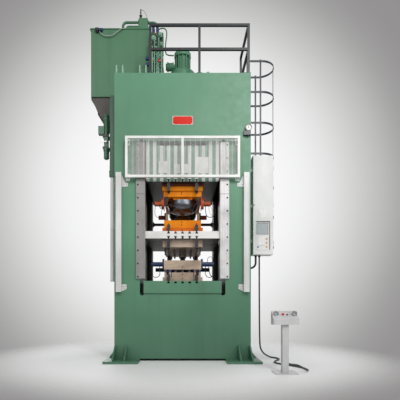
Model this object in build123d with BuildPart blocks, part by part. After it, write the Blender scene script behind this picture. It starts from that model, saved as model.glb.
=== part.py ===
from build123d import *
from math import atan2, cos, degrees, pi, radians, sin, sqrt, tan
import os

os.makedirs("parts", exist_ok=True)

# A large hydraulic press with a welded window frame, a guided slide and floating platen, its
# tooling, the power unit, the access ladder and the controls. Millimetres, +Z up. The origin is
# on the floor at the centre of the frame's footprint, X to the right and Y away from the operator.

# Frame
frame_width = 2900
frame_depth = 2100
crown_top = 6125
foot_thickness = 50
face_thickness = 60
side_thickness = 40
rib_thickness = 40
window_width = 1820
window_bottom = 1441
window_top = 4675
relief_radius = 48

# Feet
foot_reach_front = 475
foot_reach_side = 160
foot_inner_x = 906
foot_gusset_thickness = 30
foot_gusset_height = 280
side_gusset_height = 190
anchor_hole_radius = 21
anchor_edge = 120

# Guide rails
rail_inner_x = 795
rail_outer_x = 985
rail_flange_thickness = 50
rail_leg_width = 70
rail_leg_depth = 220
rail_bottom = 1749
rail_top = 4632
rail_joints = (3538, 3867)
rail_bolt_pitch = 278
rail_bolt_radius = 16
rail_bolt_head = 14
rail_bolt_x = 945
running_gap = 0.3

# Bolster and tee slots
bolster_width = 1650
bolster_height = 259
bolster_proud = 40
slot_pitch = 150
slot_count = 5
slot_neck = 24
slot_head = 50
slot_head_depth = 24
slot_neck_depth = 28

# Slide
slide_width = 1558
slide_bottom = 3817
slide_top = 4668
slide_depth = 2080
slide_wall = 60
slide_rib = 50
slide_floor = 160
slide_corner = 48
notch_width = 1064
notch_depth = 90
notch_corner = 60
slat_count = 11
slat_width = 75
slat_thickness = 8

# Main cylinder and rod
cylinder_radius = 317
bore_radius = 200
rod_radius = 180
fit_gap = 0.05
cylinder_flange_radius = 420
cylinder_flange_thickness = 100
gland_length = 160
piston_length = 180
piston_rest = 6200
bore_top = 6560
dome_top = 6730
neck_radius = 149
neck_top = 7074
cap_radius = 197
cap_thickness = 90
cap_top = 7255
stud_radius = 13
stud_circle = 176
stud_count = 12
prefill_radius = 103
prefill_z = 6864
prefill_end = -400
prefill_flange = 240

# Tooling of the upper daylight
spacer_half = 450
spacer_thickness = 66
upper_flange_half = 437
upper_flange_thickness = 88
upper_block_half = 405
upper_block_thickness = 121
pad_half = 208
pad_half_depth = 300
pad_thickness = 45
dish_radius = 335
dish_rim = 70
dish_height = 237
dish_flat_radius = 186
dish_y = 480
tool_depth_half = 860
tool_flange_overhang = 40

# Floating platen and tooling on it
platen_bottom = 2607
platen_thickness = 155
lower_flange_thickness = 101
lower_block_half = 400
lower_block_thickness = 166
cavity_clearance = 12
post_radius = 30
post_top = 3190
post_x = 345
post_y = 780
upper_closing = 340

# Tool of the lower daylight
top_plate_thickness = 164
bush_radius = 45
bush_length = 157
bush_x = 350
bush_y = 740
punch_height = 93
punch_half = 42
punch_pitch = (130, 430)
bottom_plate_thickness = 92
base_block_half = 235
base_block_thickness = 105
mid_plate_bottom = 1962
mid_plate_top = 2160
leg_width = 42
spring_radius = 26
spring_positions = (-150, 0, 150)

# Clamps that hold the tooling in the tee slots
clamp_width = 64
clamp_thickness = 36
clamp_reach = 34
clamp_gap = 46
heel_depth = 40
clamp_bolt_radius = 11
clamp_nut_radius = 24
clamp_nut_height = 24

# Side cylinders on the tools
side_hub_radius = 54
side_hub_length = 152
side_flange_radius = 119
side_flange_thickness = 46
side_plate_thickness = 12
side_plate_margin = 8
side_cylinder_drop = 327
side_cylinder_y = 700
side_plate_half = 150
lower_hub_radius = 50
lower_hub_length = 247
lower_side_flange = 38
lower_side_z = 2089

# Mesh guard in front of the window
guard_half = 1202
guard_bottom = 3862
guard_top = 4726
guard_stand_off = 150
guard_bar = 52
guard_wire = 5
guard_wire_rows = 32
guard_wire_columns = 20

# Rear guard: a sheet with round-cornered windows on the rear rails
rear_half = 915
rear_bottom = 1720
rear_top = 4640
rear_sheet = 6
rear_post = 130
rear_rows = ((1780, 2912), (2980, 3290), (3360, 4030))
rear_corner = 70

# Light curtains
curtain_x = 1350
curtain_width = 118
curtain_depth = 100
curtain_bottom = 1465
curtain_top = 3983
curtain_bracket_reach = 130
curtain_bracket_thickness = 10

# Side duct on the left column
duct_width = 72
duct_depth = 90
duct_gap = 34
duct_y = -900
duct_bottom = 1695
duct_top = 3931
duct_joint = 2810
duct_high = 5700
duct_high_width = 112

# Guard rail on the crown
post_size = 50
rail_post_pitch = 1048
right_post_x = 1407
handrail_z = 7160
midrail_z = 6645
handrail_y = -1015
handrail_end_y = 120

# Ladder and cage
ladder_x = 1590
ladder_y = 470
ladder_half = 250
stringer_width = 60
stringer_thickness = 14
rung_radius = 13
rung_pitch = 280
ladder_bottom = 330
ladder_top = 7160
hoop_radius = 350
hoop_reach = 305
hoop_height = 50
hoop_thickness = 8
hoop_top = 7086
hoop_pitch = 744
hoop_count = 7
strip_width = 40

# Oil tank
tank_left = -2175
tank_right = -775
tank_front = -70
tank_back = 1050
tank_height = 1597
tank_corner = 30
tank_lid = 16
tank_lid_overhang = 20
bracket_drop = 528
bracket_foot_x = -1889
bracket_thickness = 24

# Electrical cabinet
cabinet_left = 1540
cabinet_width = 447
cabinet_front = -750
cabinet_depth = 300
cabinet_bottom = 2299
cabinet_height = 2169
cabinet_wall = 5
door_thickness = 26
door_gap = 1.5
hinge_radius = 8

# Console pedestal
pedestal_x = 1790
pedestal_y = -2550
pedestal_height = 1085
pedestal_post = 114
pedestal_base = 394
pedestal_base_thickness = 18
head_width = 446
head_depth = 220
head_front_height = 92
head_height = 236
hood_wall = 6
hood_height = 62
hand_button_radius = 27

# Console cable
cable_diameter = 34

# Values that follow from the ones above
front_y = -frame_depth / 2
back_y = frame_depth / 2
side_x = frame_width / 2
window_x = window_width / 2
window_height = window_top - window_bottom
foot_top = foot_thickness
bolster_top = window_bottom + bolster_height
platen_top = platen_bottom + platen_thickness
slide_front = -slide_depth / 2
slide_height = slide_top - slide_bottom
slot_x = [slot_pitch * (i - (slot_count - 1) / 2) for i in range(slot_count)]
slot_depth = slot_neck_depth + slot_head_depth
spacer_bottom = slide_bottom - spacer_thickness
upper_flange_bottom = spacer_bottom - upper_flange_thickness
upper_block_bottom = upper_flange_bottom - upper_block_thickness
dish_top = upper_block_bottom - pad_thickness
dish_bottom = dish_top - dish_height
lower_flange_top = platen_top + lower_flange_thickness
lower_block_top = lower_flange_top + lower_block_thickness
tool_flange_depth_half = tool_depth_half + tool_flange_overhang


def save(piece, name):
    """Label a finished piece and write it."""
    piece.part.label = name
    export_step(piece.part, f"parts/{name}.step")


def block(x, y, z, mode=Mode.ADD):
    """A block in the part being built, between two limits on each axis."""
    with Locations(((x[0] + x[1]) / 2, (y[0] + y[1]) / 2, (z[0] + z[1]) / 2)):
        Box(x[1] - x[0], y[1] - y[0], z[1] - z[0], mode=mode)


def upright(x, y, z, radius, mode=Mode.ADD):
    """An upright cylinder in the part being built, between two heights."""
    with Locations((x, y, (z[0] + z[1]) / 2)):
        Cylinder(radius, z[1] - z[0], mode=mode)


def span(centre, size):
    """The two limits of a length about its centre."""
    return (centre - size / 2, centre + size / 2)


def tee_slots(edge, direction, mode=Mode.SUBTRACT):
    """Profiles of the tee slots in a sketch, from an edge into the metal."""
    neck_centre = edge + direction * slot_neck_depth / 2
    head_centre = edge + direction * (slot_neck_depth + slot_head_depth / 2)
    with Locations(*[(x, neck_centre) for x in slot_x]):
        Rectangle(slot_neck, slot_neck_depth, mode=mode)
    with Locations(*[(x, head_centre) for x in slot_x]):
        Rectangle(slot_head, slot_head_depth, mode=mode)


# Front and back plates: the window has round relief cuts at its corners


def face_plate(outer_y):
    """A face plate of the frame, in the part being built."""
    with BuildSketch(Plane.XZ.offset(-outer_y)) as outline:
        with Locations((0, (foot_top + crown_top) / 2)):
            Rectangle(frame_width, crown_top - foot_top)
        with Locations((0, (window_bottom + window_top) / 2)):
            Rectangle(window_width, window_height, mode=Mode.SUBTRACT)
            with GridLocations(window_width - 2 * relief_radius, window_height, 2, 2):
                Circle(relief_radius, mode=Mode.SUBTRACT)
    extrude(outline.sketch, amount=-face_thickness)


with BuildPart() as front_plate:
    face_plate(front_y)
save(front_plate, "front_plate")

# The rear guard stands on the rear rails' faces, behind the back plate's window
rear_guard_y = back_y + rail_flange_thickness
rear_window_width = rear_half - 1.5 * rear_post
with BuildPart() as back_plate:
    face_plate(back_y - face_thickness)
    with BuildSketch(Plane.XZ.offset(-rear_guard_y)) as rear_outline:
        with Locations((0, (rear_bottom + rear_top) / 2)):
            Rectangle(2 * rear_half, rear_top - rear_bottom)
        for low, high in rear_rows:
            with Locations((0, (low + high) / 2)):
                with GridLocations(rear_half - rear_post / 2, 0, 2, 1):
                    RectangleRounded(rear_window_width, high - low, rear_corner, mode=Mode.SUBTRACT)
    extrude(rear_outline.sketch, amount=-rear_sheet)
save(back_plate, "back_plate")

# Column boxes: outer and inner side plates joined by cross ribs
column_y = (front_y + face_thickness, back_y - face_thickness)
column_rib_z = [foot_top + rib_thickness / 2, 1400, 2500, 3600, 4700, 5400, crown_top - rib_thickness / 2]
for name, side in (("left_column", -1), ("right_column", 1)):
    outer = sorted((side * side_x, side * (side_x - side_thickness)))
    inner = sorted((side * window_x, side * (window_x + side_thickness)))
    web = sorted((side * (window_x + side_thickness), side * (side_x - side_thickness)))
    with BuildPart() as column_box:
        block(outer, column_y, (foot_top, crown_top))
        block(inner, column_y, (foot_top, crown_top))
        for z in column_rib_z:
            block(web, column_y, span(z, rib_thickness))
    save(column_box, name)


def relief_channels(level):
    """Channels behind the plates' relief cuts, in the part being built."""
    with BuildSketch(Plane.XZ.offset(-column_y[0])) as channels:
        with Locations((0, level)):
            with GridLocations(window_width - 2 * relief_radius, 0, 2, 1):
                Circle(relief_radius)
    extrude(channels.sketch, amount=column_y[0] - column_y[1], mode=Mode.SUBTRACT)


# Crown box: lower plate with the cylinder bore, upper plate and two long ribs
crown_x = (-window_x, window_x)
crown_rib_x = 560
with BuildPart() as crown_box:
    block(crown_x, column_y, (window_top, window_top + face_thickness))
    block(crown_x, column_y, (crown_top - side_thickness, crown_top))
    for x in (-crown_rib_x, crown_rib_x):
        block(span(x, rib_thickness), column_y, (window_top + face_thickness, crown_top - side_thickness))
    with BuildSketch(Plane.XY.offset(window_top)):
        Circle(cylinder_radius)
    extrude(amount=crown_top - window_top, mode=Mode.SUBTRACT)
    relief_channels(window_top)
save(crown_box, "crown_box")

# Bed box under the bolster
bed_rib_x = 430
with BuildPart() as bed_box:
    block(crown_x, column_y, (window_bottom - face_thickness, window_bottom))
    block(crown_x, column_y, (foot_top, foot_top + side_thickness))
    for x in (-bed_rib_x, 0, bed_rib_x):
        block(span(x, rib_thickness), column_y, (foot_top + side_thickness, window_bottom - face_thickness))
    relief_channels(window_bottom)
save(bed_box, "bed_box")

# Foot plates with anchor holes, forward gussets and a side gusset
foot_outer_x = side_x + foot_reach_side
foot_end_y = frame_depth / 2 + foot_reach_front
foot_inner_y = frame_depth / 2 - 300
anchor_x = foot_outer_x - anchor_edge
anchor_y = foot_end_y - anchor_edge
gusset_x = (side_x - 25, side_x - 265)
with BuildPart() as foot_plates:
    for sx in (-1, 1):
        for sy in (-1, 1):
            foot_x = sorted((sx * foot_inner_x, sx * foot_outer_x))
            foot_y = sorted((sy * foot_inner_y, sy * foot_end_y))
            block(foot_x, foot_y, (0, foot_thickness))
            for x in gusset_x:
                face = sy * frame_depth / 2
                tip = sy * (foot_end_y - 60)
                with BuildSketch(Plane.YZ.offset(sx * x - foot_gusset_thickness / 2)):
                    with BuildLine():
                        Polyline(
                            (face, foot_top),
                            (tip, foot_top),
                            (tip, foot_top + 40),
                            (face + sy * 70, foot_top + foot_gusset_height),
                            (face, foot_top + foot_gusset_height),
                            close=True,
                        )
                    make_face()
                extrude(amount=foot_gusset_thickness)
            with BuildSketch(Plane.XZ.offset(-sy * (frame_depth / 2 - 200) + foot_gusset_thickness / 2)):
                with BuildLine():
                    Polyline(
                        (sx * side_x, foot_top),
                        (sx * (foot_outer_x - 8), foot_top),
                        (sx * side_x, foot_top + side_gusset_height),
                        close=True,
                    )
                make_face()
            extrude(amount=-foot_gusset_thickness)
    with BuildSketch():
        with GridLocations(2 * anchor_x, 2 * anchor_y, 2, 2):
            Circle(anchor_hole_radius)
        with GridLocations(2 * (foot_inner_x + anchor_edge), 2 * anchor_y, 2, 2):
            Circle(anchor_hole_radius)
    extrude(amount=foot_thickness, mode=Mode.SUBTRACT)
save(foot_plates, "foot_plates")

# Guide rails: an angle section in three lengths, bolted to the plates at the window's edges
rail_outer_y = frame_depth / 2 + rail_flange_thickness
rail_levels = (rail_bottom, *rail_joints, rail_top)
with BuildPart() as guide_rails:
    for sx in (-1, 1):
        for sy in (-1, 1):
            for low, high in zip(rail_levels, rail_levels[1:]):
                with BuildSketch(Plane.XY.offset(low)):
                    with BuildLine():
                        Polyline(
                            (sx * rail_inner_x, sy * rail_outer_y),
                            (sx * rail_outer_x, sy * rail_outer_y),
                            (sx * rail_outer_x, sy * frame_depth / 2),
                            (sx * (rail_inner_x + rail_leg_width), sy * frame_depth / 2),
                            (sx * (rail_inner_x + rail_leg_width), sy * (rail_outer_y - rail_leg_depth)),
                            (sx * rail_inner_x, sy * (rail_outer_y - rail_leg_depth)),
                            close=True,
                        )
                    make_face()
                extrude(amount=high - low)
    rail_ends = guide_rails.edges().filter_by(Axis.X).group_by(Axis.Y)[0]
    chamfer(rail_ends, 4)
save(guide_rails, "guide_rails")

# Socket head screws of the rails
screw_socket_radius = 7
screw_socket_depth = 9
rail_screw_count = int((rail_top - rail_bottom - 100) / rail_bolt_pitch) + 1
rail_screw_z = [rail_top - 62 - i * rail_bolt_pitch for i in range(rail_screw_count)]
with BuildPart() as rail_screws:
    for sy in (-1, 1):
        head_plane = Plane.XZ.offset(-sy * rail_outer_y)
        for sx in (-1, 1):
            places = [(sx * rail_bolt_x, z) for z in rail_screw_z]
            with BuildSketch(head_plane):
                with Locations(*places):
                    Circle(rail_bolt_radius)
            extrude(amount=-sy * rail_bolt_head)
            with BuildSketch(head_plane.offset(-sy * rail_bolt_head)):
                with Locations(*places):
                    RegularPolygon(screw_socket_radius, 6)
            extrude(amount=sy * screw_socket_depth, mode=Mode.SUBTRACT)
save(rail_screws, "rail_screws")

# Bolster with tee slots along its top
bolster_y = frame_depth / 2 + bolster_proud
with BuildPart() as bolster:
    with BuildSketch(Plane.XZ.offset(bolster_y)):
        with Locations((0, window_bottom + bolster_height / 2)):
            Rectangle(bolster_width, bolster_height)
        tee_slots(bolster_top, -1)
    extrude(amount=-2 * bolster_y)
save(bolster, "bolster")

# Slide: a ribbed box, open on top, with guide liners beside the rails and tee slots below
liner_thickness = rail_inner_x - running_gap - slide_width / 2
liner_depth = 190
rod_boss = (slide_width - 2 * slide_wall - 2 * slide_rib) / 3
pocket_y = (slide_depth - 2 * slide_wall - 2 * slide_rib) / 3
pocket_floor = slide_bottom + slide_floor
pocket_places = [
    (i * (rod_boss + slide_rib), j * (pocket_y + slide_rib))
    for i in (-1, 0, 1)
    for j in (-1, 0, 1)
    if (i, j) != (0, 0)
]
with BuildPart() as slide:
    with BuildSketch(Plane.XZ.offset(-slide_front)):
        with Locations((0, (slide_bottom + slide_top) / 2)):
            Rectangle(slide_width, slide_height)
    extrude(amount=-slide_depth)
    fillet(slide.edges().filter_by(Axis.Y).group_by(Axis.Z)[0], slide_corner)
    with BuildSketch(Plane.XY.offset(pocket_floor)):
        with Locations(*pocket_places):
            RectangleRounded(rod_boss, pocket_y, 30)
    extrude(amount=slide_top - pocket_floor, mode=Mode.SUBTRACT)
    with BuildSketch(Plane.XZ.offset(-slide_front)):
        with Locations((0, slide_top)):
            RectangleRounded(notch_width, 2 * notch_depth, notch_corner)
    extrude(amount=-slide_wall, mode=Mode.SUBTRACT)
    with BuildSketch(Plane.XZ.offset(-slide_front)):
        tee_slots(slide_bottom, 1, Mode.ADD)
    extrude(amount=-slide_depth, mode=Mode.SUBTRACT)
    for sx in (-1, 1):
        liner_x = sorted((sx * slide_width / 2, sx * (slide_width / 2 + liner_thickness)))
        for sy in (-1, 1):
            liner_end = slide_depth / 2 - 20
            liner_y = sorted((sy * (liner_end - liner_depth), sy * liner_end))
            block(liner_x, liner_y, (slide_bottom + 100, slide_top - 60))
save(slide, "slide")

# Slats on the slide's front face, with its rounded lower corners and its notch
with BuildPart() as slide_slats:
    with BuildSketch(Plane.XZ.offset(-slide_front)):
        with Locations((0, (slide_bottom + slide_top) / 2)):
            with GridLocations((slide_width - slat_width) / (slat_count - 1), 0, slat_count, 1):
                Rectangle(slat_width, slide_height)
        with Locations((0, slide_top)):
            RectangleRounded(notch_width, 2 * notch_depth, notch_corner, mode=Mode.SUBTRACT)
    extrude(amount=slat_thickness)
    lower_edges = slide_slats.edges().filter_by(Axis.Y).group_by(Axis.Z)[0].sort_by(Axis.X)
    fillet([lower_edges[0], lower_edges[-1]], slide_corner)
save(slide_slats, "slide_slats")

# Main cylinder: flange on the crown's lower plate, barrel, dome, neck, stud ring and, on the
# left of the neck, the flanged barrel of the prefill valve
gland_bottom = window_top
barrel_seat = window_top + face_thickness
with BuildPart() as main_cylinder:
    with BuildSketch(Plane.XZ):
        with BuildLine():
            Polyline(
                (rod_radius + fit_gap, gland_bottom),
                (cylinder_radius - 1, gland_bottom),
                (cylinder_radius - 1, barrel_seat),
                (cylinder_flange_radius, barrel_seat),
                (cylinder_flange_radius, barrel_seat + cylinder_flange_thickness),
                (cylinder_radius - 1, barrel_seat + cylinder_flange_thickness),
                (cylinder_radius - 1, crown_top + 20),
                (cylinder_radius, crown_top + 20),
                (cylinder_radius, dome_top - 120),
            )
            RadiusArc((cylinder_radius, dome_top - 120), (cylinder_radius - 120, dome_top), -120)
            Polyline(
                (cylinder_radius - 120, dome_top),
                (neck_radius, dome_top),
                (neck_radius, neck_top),
                (cap_radius, neck_top),
                (cap_radius, neck_top + cap_thickness),
                (neck_radius, neck_top + cap_thickness),
                (neck_radius - 30, cap_top),
                (0, cap_top),
                (0, bore_top),
                (bore_radius, bore_top),
                (bore_radius, gland_bottom + gland_length),
                (rod_radius + fit_gap, gland_bottom + gland_length),
                (rod_radius + fit_gap, gland_bottom),
            )
        make_face()
    revolve(axis=Axis.Z)
    with BuildSketch(Plane.XY.offset(dome_top)):
        with PolarLocations(stud_circle, stud_count):
            Circle(stud_radius)
    extrude(amount=neck_top - dome_top)
    with BuildSketch(Plane.XZ):
        with BuildLine():
            Polyline(
                (prefill_end, prefill_z),
                (prefill_end, prefill_z + prefill_radius - 25),
                (prefill_end + 30, prefill_z + prefill_radius - 25),
                (prefill_end + 30, prefill_z + prefill_radius),
                (prefill_end + 70, prefill_z + prefill_radius),
                (prefill_end + 70, prefill_z + prefill_radius - 12),
                (-prefill_flange, prefill_z + prefill_radius - 12),
                (-prefill_flange, prefill_z + prefill_radius),
                (-prefill_flange + 30, prefill_z + prefill_radius),
                (-prefill_flange + 30, prefill_z + 60),
                (-neck_radius + 40, prefill_z + 60),
                (-neck_radius + 40, prefill_z),
                close=True,
            )
        make_face()
    revolve(axis=Axis((0, 0, prefill_z), (1, 0, 0)))
save(main_cylinder, "main_cylinder")

# Piston rod on the slide's boss
with BuildPart() as piston_rod:
    with BuildSketch(Plane.XZ):
        with BuildLine():
            Polyline(
                (0, slide_top),
                (rod_radius, slide_top),
                (rod_radius, piston_rest),
                (bore_radius - fit_gap, piston_rest),
                (bore_radius - fit_gap, piston_rest + piston_length),
                (0, piston_rest + piston_length),
                close=True,
            )
        make_face()
    revolve(axis=Axis.Z)
save(piston_rod, "piston_rod")


def tool_plate(half_x, half_y, low, high):
    """A tool plate centred on the press, in the part being built."""
    block((-half_x, half_x), (-half_y, half_y), (low, high))


# Upper die: spacer plate under the slide, clamping flange, block and pad
with BuildPart() as upper_die:
    tool_plate(spacer_half, tool_flange_depth_half, spacer_bottom, slide_bottom)
    tool_plate(upper_flange_half, tool_flange_depth_half, upper_flange_bottom, spacer_bottom)
    tool_plate(upper_block_half, tool_depth_half, upper_block_bottom, upper_flange_bottom)
    for sy in (-1, 1):
        block((-pad_half, pad_half), span(sy * dish_y, 2 * pad_half_depth), (dish_top, upper_block_bottom))
save(upper_die, "upper_die")

# Dish punches under the pads
dish_shoulder = dish_top - dish_rim


def dish_profile(radius, flat_radius, top, shoulder, bottom):
    """Half section of the dish, in the sketch being built."""
    with BuildLine() as section:
        Line((0, top), (radius, top))
        Line((radius, top), (radius, shoulder))
        Spline(
            (radius, shoulder),
            (flat_radius + 0.72 * (radius - flat_radius), bottom + 0.36 * (shoulder - bottom)),
            (flat_radius, bottom),
            tangents=((0, -1), (-1, 0)),
        )
        Line((flat_radius, bottom), (0, bottom))
        Line((0, bottom), (0, top))
    make_face(section.edges())


with BuildPart() as dish_punch:
    for y in (-dish_y, dish_y):
        with BuildSketch(Plane.XZ.offset(-y)):
            dish_profile(dish_radius, dish_flat_radius, dish_top, dish_shoulder, dish_bottom)
        revolve(axis=Axis((0, y, 0), (0, 0, 1)))
save(dish_punch, "dish_punch")

# Ejector cylinders on both sides of the upper tool, on plates bolted to the block
side_cylinder_z = upper_flange_bottom - side_cylinder_drop + upper_flange_thickness
side_plate_bottom = side_cylinder_z - side_flange_radius - side_plate_margin


def side_cylinder(side, face_x, y, z, flange, hub_radius, hub_length):
    """A flanged cylinder that points away from the tool, in the part being built."""
    with BuildSketch(Plane.YZ.offset(side * face_x)) as flange_disc:
        with Locations((y, z)):
            Circle(side_flange_radius)
    extrude(flange_disc.sketch, amount=side * flange)
    with BuildSketch(Plane.YZ.offset(side * (face_x + flange))) as hub_disc:
        with Locations((y, z)):
            Circle(hub_radius)
    extrude(hub_disc.sketch, amount=side * hub_length)


with BuildPart() as side_cylinders:
    for sx in (-1, 1):
        plate_x = sorted((sx * upper_block_half, sx * (upper_block_half + side_plate_thickness)))
        face_x = upper_block_half + side_plate_thickness
        for y in (-side_cylinder_y, side_cylinder_y):
            block(plate_x, span(y, 2 * side_plate_half), (side_plate_bottom, upper_flange_bottom))
            side_cylinder(
                sx, face_x, y, side_cylinder_z, side_flange_thickness, side_hub_radius, side_hub_length
            )
save(side_cylinders, "side_cylinders")

# Floating platen with tee slots on both faces
platen_half = rail_inner_x - running_gap
with BuildPart() as floating_platen:
    with BuildSketch(Plane.XZ.offset(slide_depth / 2)):
        with Locations((0, (platen_bottom + platen_top) / 2)):
            Rectangle(2 * platen_half, platen_thickness)
        tee_slots(platen_top, -1)
        tee_slots(platen_bottom, 1)
    extrude(amount=-slide_depth)
save(floating_platen, "floating_platen")

# Lower die on the platen, with a cavity for each dish and guide posts at its corners
cavity_floor = dish_bottom - upper_closing - cavity_clearance
cavity_radius = dish_radius + cavity_clearance
with BuildPart() as lower_die:
    tool_plate(upper_flange_half, tool_flange_depth_half, platen_top, lower_flange_top)
    tool_plate(lower_block_half, tool_depth_half, lower_flange_top, lower_block_top)
    for y in (-dish_y, dish_y):
        with BuildSketch(Plane.XZ.offset(-y)):
            dish_profile(
                cavity_radius,
                dish_flat_radius,
                cavity_floor + dish_height,
                cavity_floor + dish_shoulder - dish_bottom,
                cavity_floor,
            )
        revolve(axis=Axis((0, y, 0), (0, 0, 1)), mode=Mode.SUBTRACT)
    with BuildSketch(Plane.XY.offset(lower_block_top)):
        with GridLocations(2 * post_x, 2 * post_y, 2, 2):
            Circle(post_radius)
    extrude(amount=post_top - lower_block_top)
    chamfer(lower_die.faces().group_by(Axis.Z)[-1].edges(), 8)
save(lower_die, "lower_die")

# Upper half of the lower tool: top plate, guide bushes and punches under the platen
top_plate_bottom = platen_bottom - top_plate_thickness
with BuildPart() as lower_tool_head:
    tool_plate(upper_flange_half - 5, tool_flange_depth_half, top_plate_bottom, platen_bottom)
    with BuildSketch(Plane.XY.offset(top_plate_bottom)):
        with GridLocations(*punch_pitch, 4, 3):
            Rectangle(punch_half, 2 * punch_half)
    extrude(amount=-punch_height)
    with BuildSketch(Plane.XY.offset(top_plate_bottom)):
        with GridLocations(2 * bush_x, 2 * bush_y, 2, 2):
            Circle(bush_radius)
    extrude(amount=-bush_length)
save(lower_tool_head, "lower_tool_head")

# Lower half of the lower tool on the bolster, with gas springs between its plates
bottom_plate_top = bolster_top + bottom_plate_thickness
base_block_top = bottom_plate_top + base_block_thickness
leg_places = (upper_block_half - leg_width / 2 - 10, upper_block_half - leg_width / 2 - 115)
with BuildPart() as lower_tool:
    tool_plate(upper_flange_half - 5, tool_flange_depth_half, bolster_top, bottom_plate_top)
    tool_plate(base_block_half, tool_depth_half, bottom_plate_top, base_block_top)
    for sx in (-1, 1):
        for x in leg_places:
            for sy in (-1, 1):
                leg_y = sorted((sy * (tool_depth_half - 260), sy * tool_depth_half))
                block(span(sx * x, leg_width), leg_y, (bottom_plate_top, mid_plate_bottom))
    tool_plate(upper_block_half, tool_depth_half, mid_plate_bottom, mid_plate_top)
    with BuildSketch(Plane.XY.offset(base_block_top)):
        with Locations(*[(x, sy * (tool_depth_half - 60)) for x in spring_positions for sy in (-1, 0, 1)]):
            Circle(spring_radius)
    extrude(amount=mid_plate_bottom - base_block_top)
save(lower_tool, "lower_tool")

# Ejector cylinders of the lower tool, on its middle plate
with BuildPart() as tool_ejectors:
    for sx in (-1, 1):
        for y in (-side_cylinder_y, side_cylinder_y):
            side_cylinder(
                sx, upper_block_half, y, lower_side_z, lower_side_flange, lower_hub_radius, lower_hub_length
            )
save(tool_ejectors, "tool_ejectors")


def clamp_set(base, direction, flange, half_y):
    """Four clamps on a slotted face: bolt in the slot, strap over the flange, heel behind it."""
    bolt_y = half_y + clamp_gap
    strap_y = (half_y - clamp_reach, bolt_y + clamp_gap + heel_depth)
    head = sorted((base - direction * slot_neck_depth, base - direction * (slot_depth - 4)))
    strap = sorted((base + direction * flange, base + direction * (flange + clamp_thickness)))
    heel = sorted((base, base + direction * flange))
    nut_start = base + direction * (flange + clamp_thickness)
    for x in (slot_x[0], slot_x[-1]):
        for sy in (-1, 1):
            y_limits = sorted((sy * strap_y[0], sy * strap_y[1]))
            heel_y = sorted((sy * (strap_y[1] - heel_depth), sy * strap_y[1]))
            block(span(x, clamp_width), y_limits, strap)
            block(span(x, clamp_width), heel_y, heel)
            block(span(x, slot_head - 6), span(sy * bolt_y, slot_head - 6), head)
            bolt_end = nut_start + direction * 2 * clamp_nut_height
            bolt_z = sorted((base - direction * slot_neck_depth, bolt_end))
            upright(x, sy * bolt_y, bolt_z, clamp_bolt_radius)
            with BuildSketch(Plane.XY.offset(nut_start)) as nut:
                with Locations((x, sy * bolt_y)):
                    RegularPolygon(clamp_nut_radius, 6)
            extrude(nut.sketch, amount=direction * clamp_nut_height)


clamp_flange_up = spacer_thickness + upper_flange_thickness
with BuildPart() as slide_clamps:
    clamp_set(slide_bottom, -1, clamp_flange_up, tool_flange_depth_half)
save(slide_clamps, "slide_clamps")

with BuildPart() as platen_clamps:
    clamp_set(platen_top, 1, lower_flange_thickness, tool_flange_depth_half)
    clamp_set(platen_bottom, -1, top_plate_thickness, tool_flange_depth_half)
save(platen_clamps, "platen_clamps")

with BuildPart() as bolster_clamps:
    clamp_set(bolster_top, 1, bottom_plate_thickness, tool_flange_depth_half)
save(bolster_clamps, "bolster_clamps")

# Mesh guard: welded bars and wires, with side returns and slotted tabs on the front plate
guard_front = front_y - guard_stand_off
guard_tab_width = 84
guard_tab_height = 150
guard_tab_thickness = 8
guard_middle = (guard_bottom + guard_top) / 2
guard_height = guard_top - guard_bottom
wire_y = guard_front + guard_bar / 2
wire_row_pitch = (guard_height - 2 * guard_bar) / (guard_wire_rows + 1)
wire_column_pitch = 2 * (guard_half - guard_bar) / (guard_wire_columns + 1)
half_opening = guard_half - 1.5 * guard_bar
with BuildPart() as mesh_guard:
    with BuildSketch(Plane.XZ.offset(-guard_front)):
        with Locations((0, guard_middle)):
            Rectangle(2 * guard_half, guard_height)
            with GridLocations(guard_half - guard_bar / 2, 0, 2, 1):
                Rectangle(guard_half - 1.5 * guard_bar, guard_height - 2 * guard_bar, mode=Mode.SUBTRACT)
    extrude(amount=-guard_bar)
    for sx in (-1, 1):
        return_x = sorted((sx * guard_half, sx * (guard_half - 20)))
        tab_x = sorted((sx * guard_half, sx * (guard_half - guard_tab_width)))
        for z in (guard_bottom, guard_top - guard_bar):
            block(return_x, (guard_front + guard_bar, front_y), (z, z + guard_bar))
        for z in (guard_bottom - 40, guard_top - guard_tab_height):
            block(tab_x, (front_y - guard_tab_thickness, front_y), (z, z + guard_tab_height))
            with BuildSketch(Plane.XZ.offset(-front_y)):
                with Locations((sx * (guard_half - 52), z + guard_tab_height / 2)):
                    SlotOverall(60, 16, rotation=90)
            extrude(amount=guard_tab_thickness, mode=Mode.SUBTRACT)
    with BuildSketch(Plane.XZ.offset(-wire_y)):
        with Locations((0, guard_middle)):
            with GridLocations(guard_half - guard_bar / 2, wire_row_pitch, 2, guard_wire_rows):
                Rectangle(half_opening, guard_wire)
    extrude(amount=guard_wire)
    with BuildSketch(Plane.XZ.offset(-wire_y - running_gap)):
        with Locations((0, guard_middle)):
            with GridLocations(wire_column_pitch, 0, guard_wire_columns, 1):
                Rectangle(guard_wire, guard_height - 2 * guard_bar)
    extrude(amount=-guard_wire)
save(mesh_guard, "mesh_guard")

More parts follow.
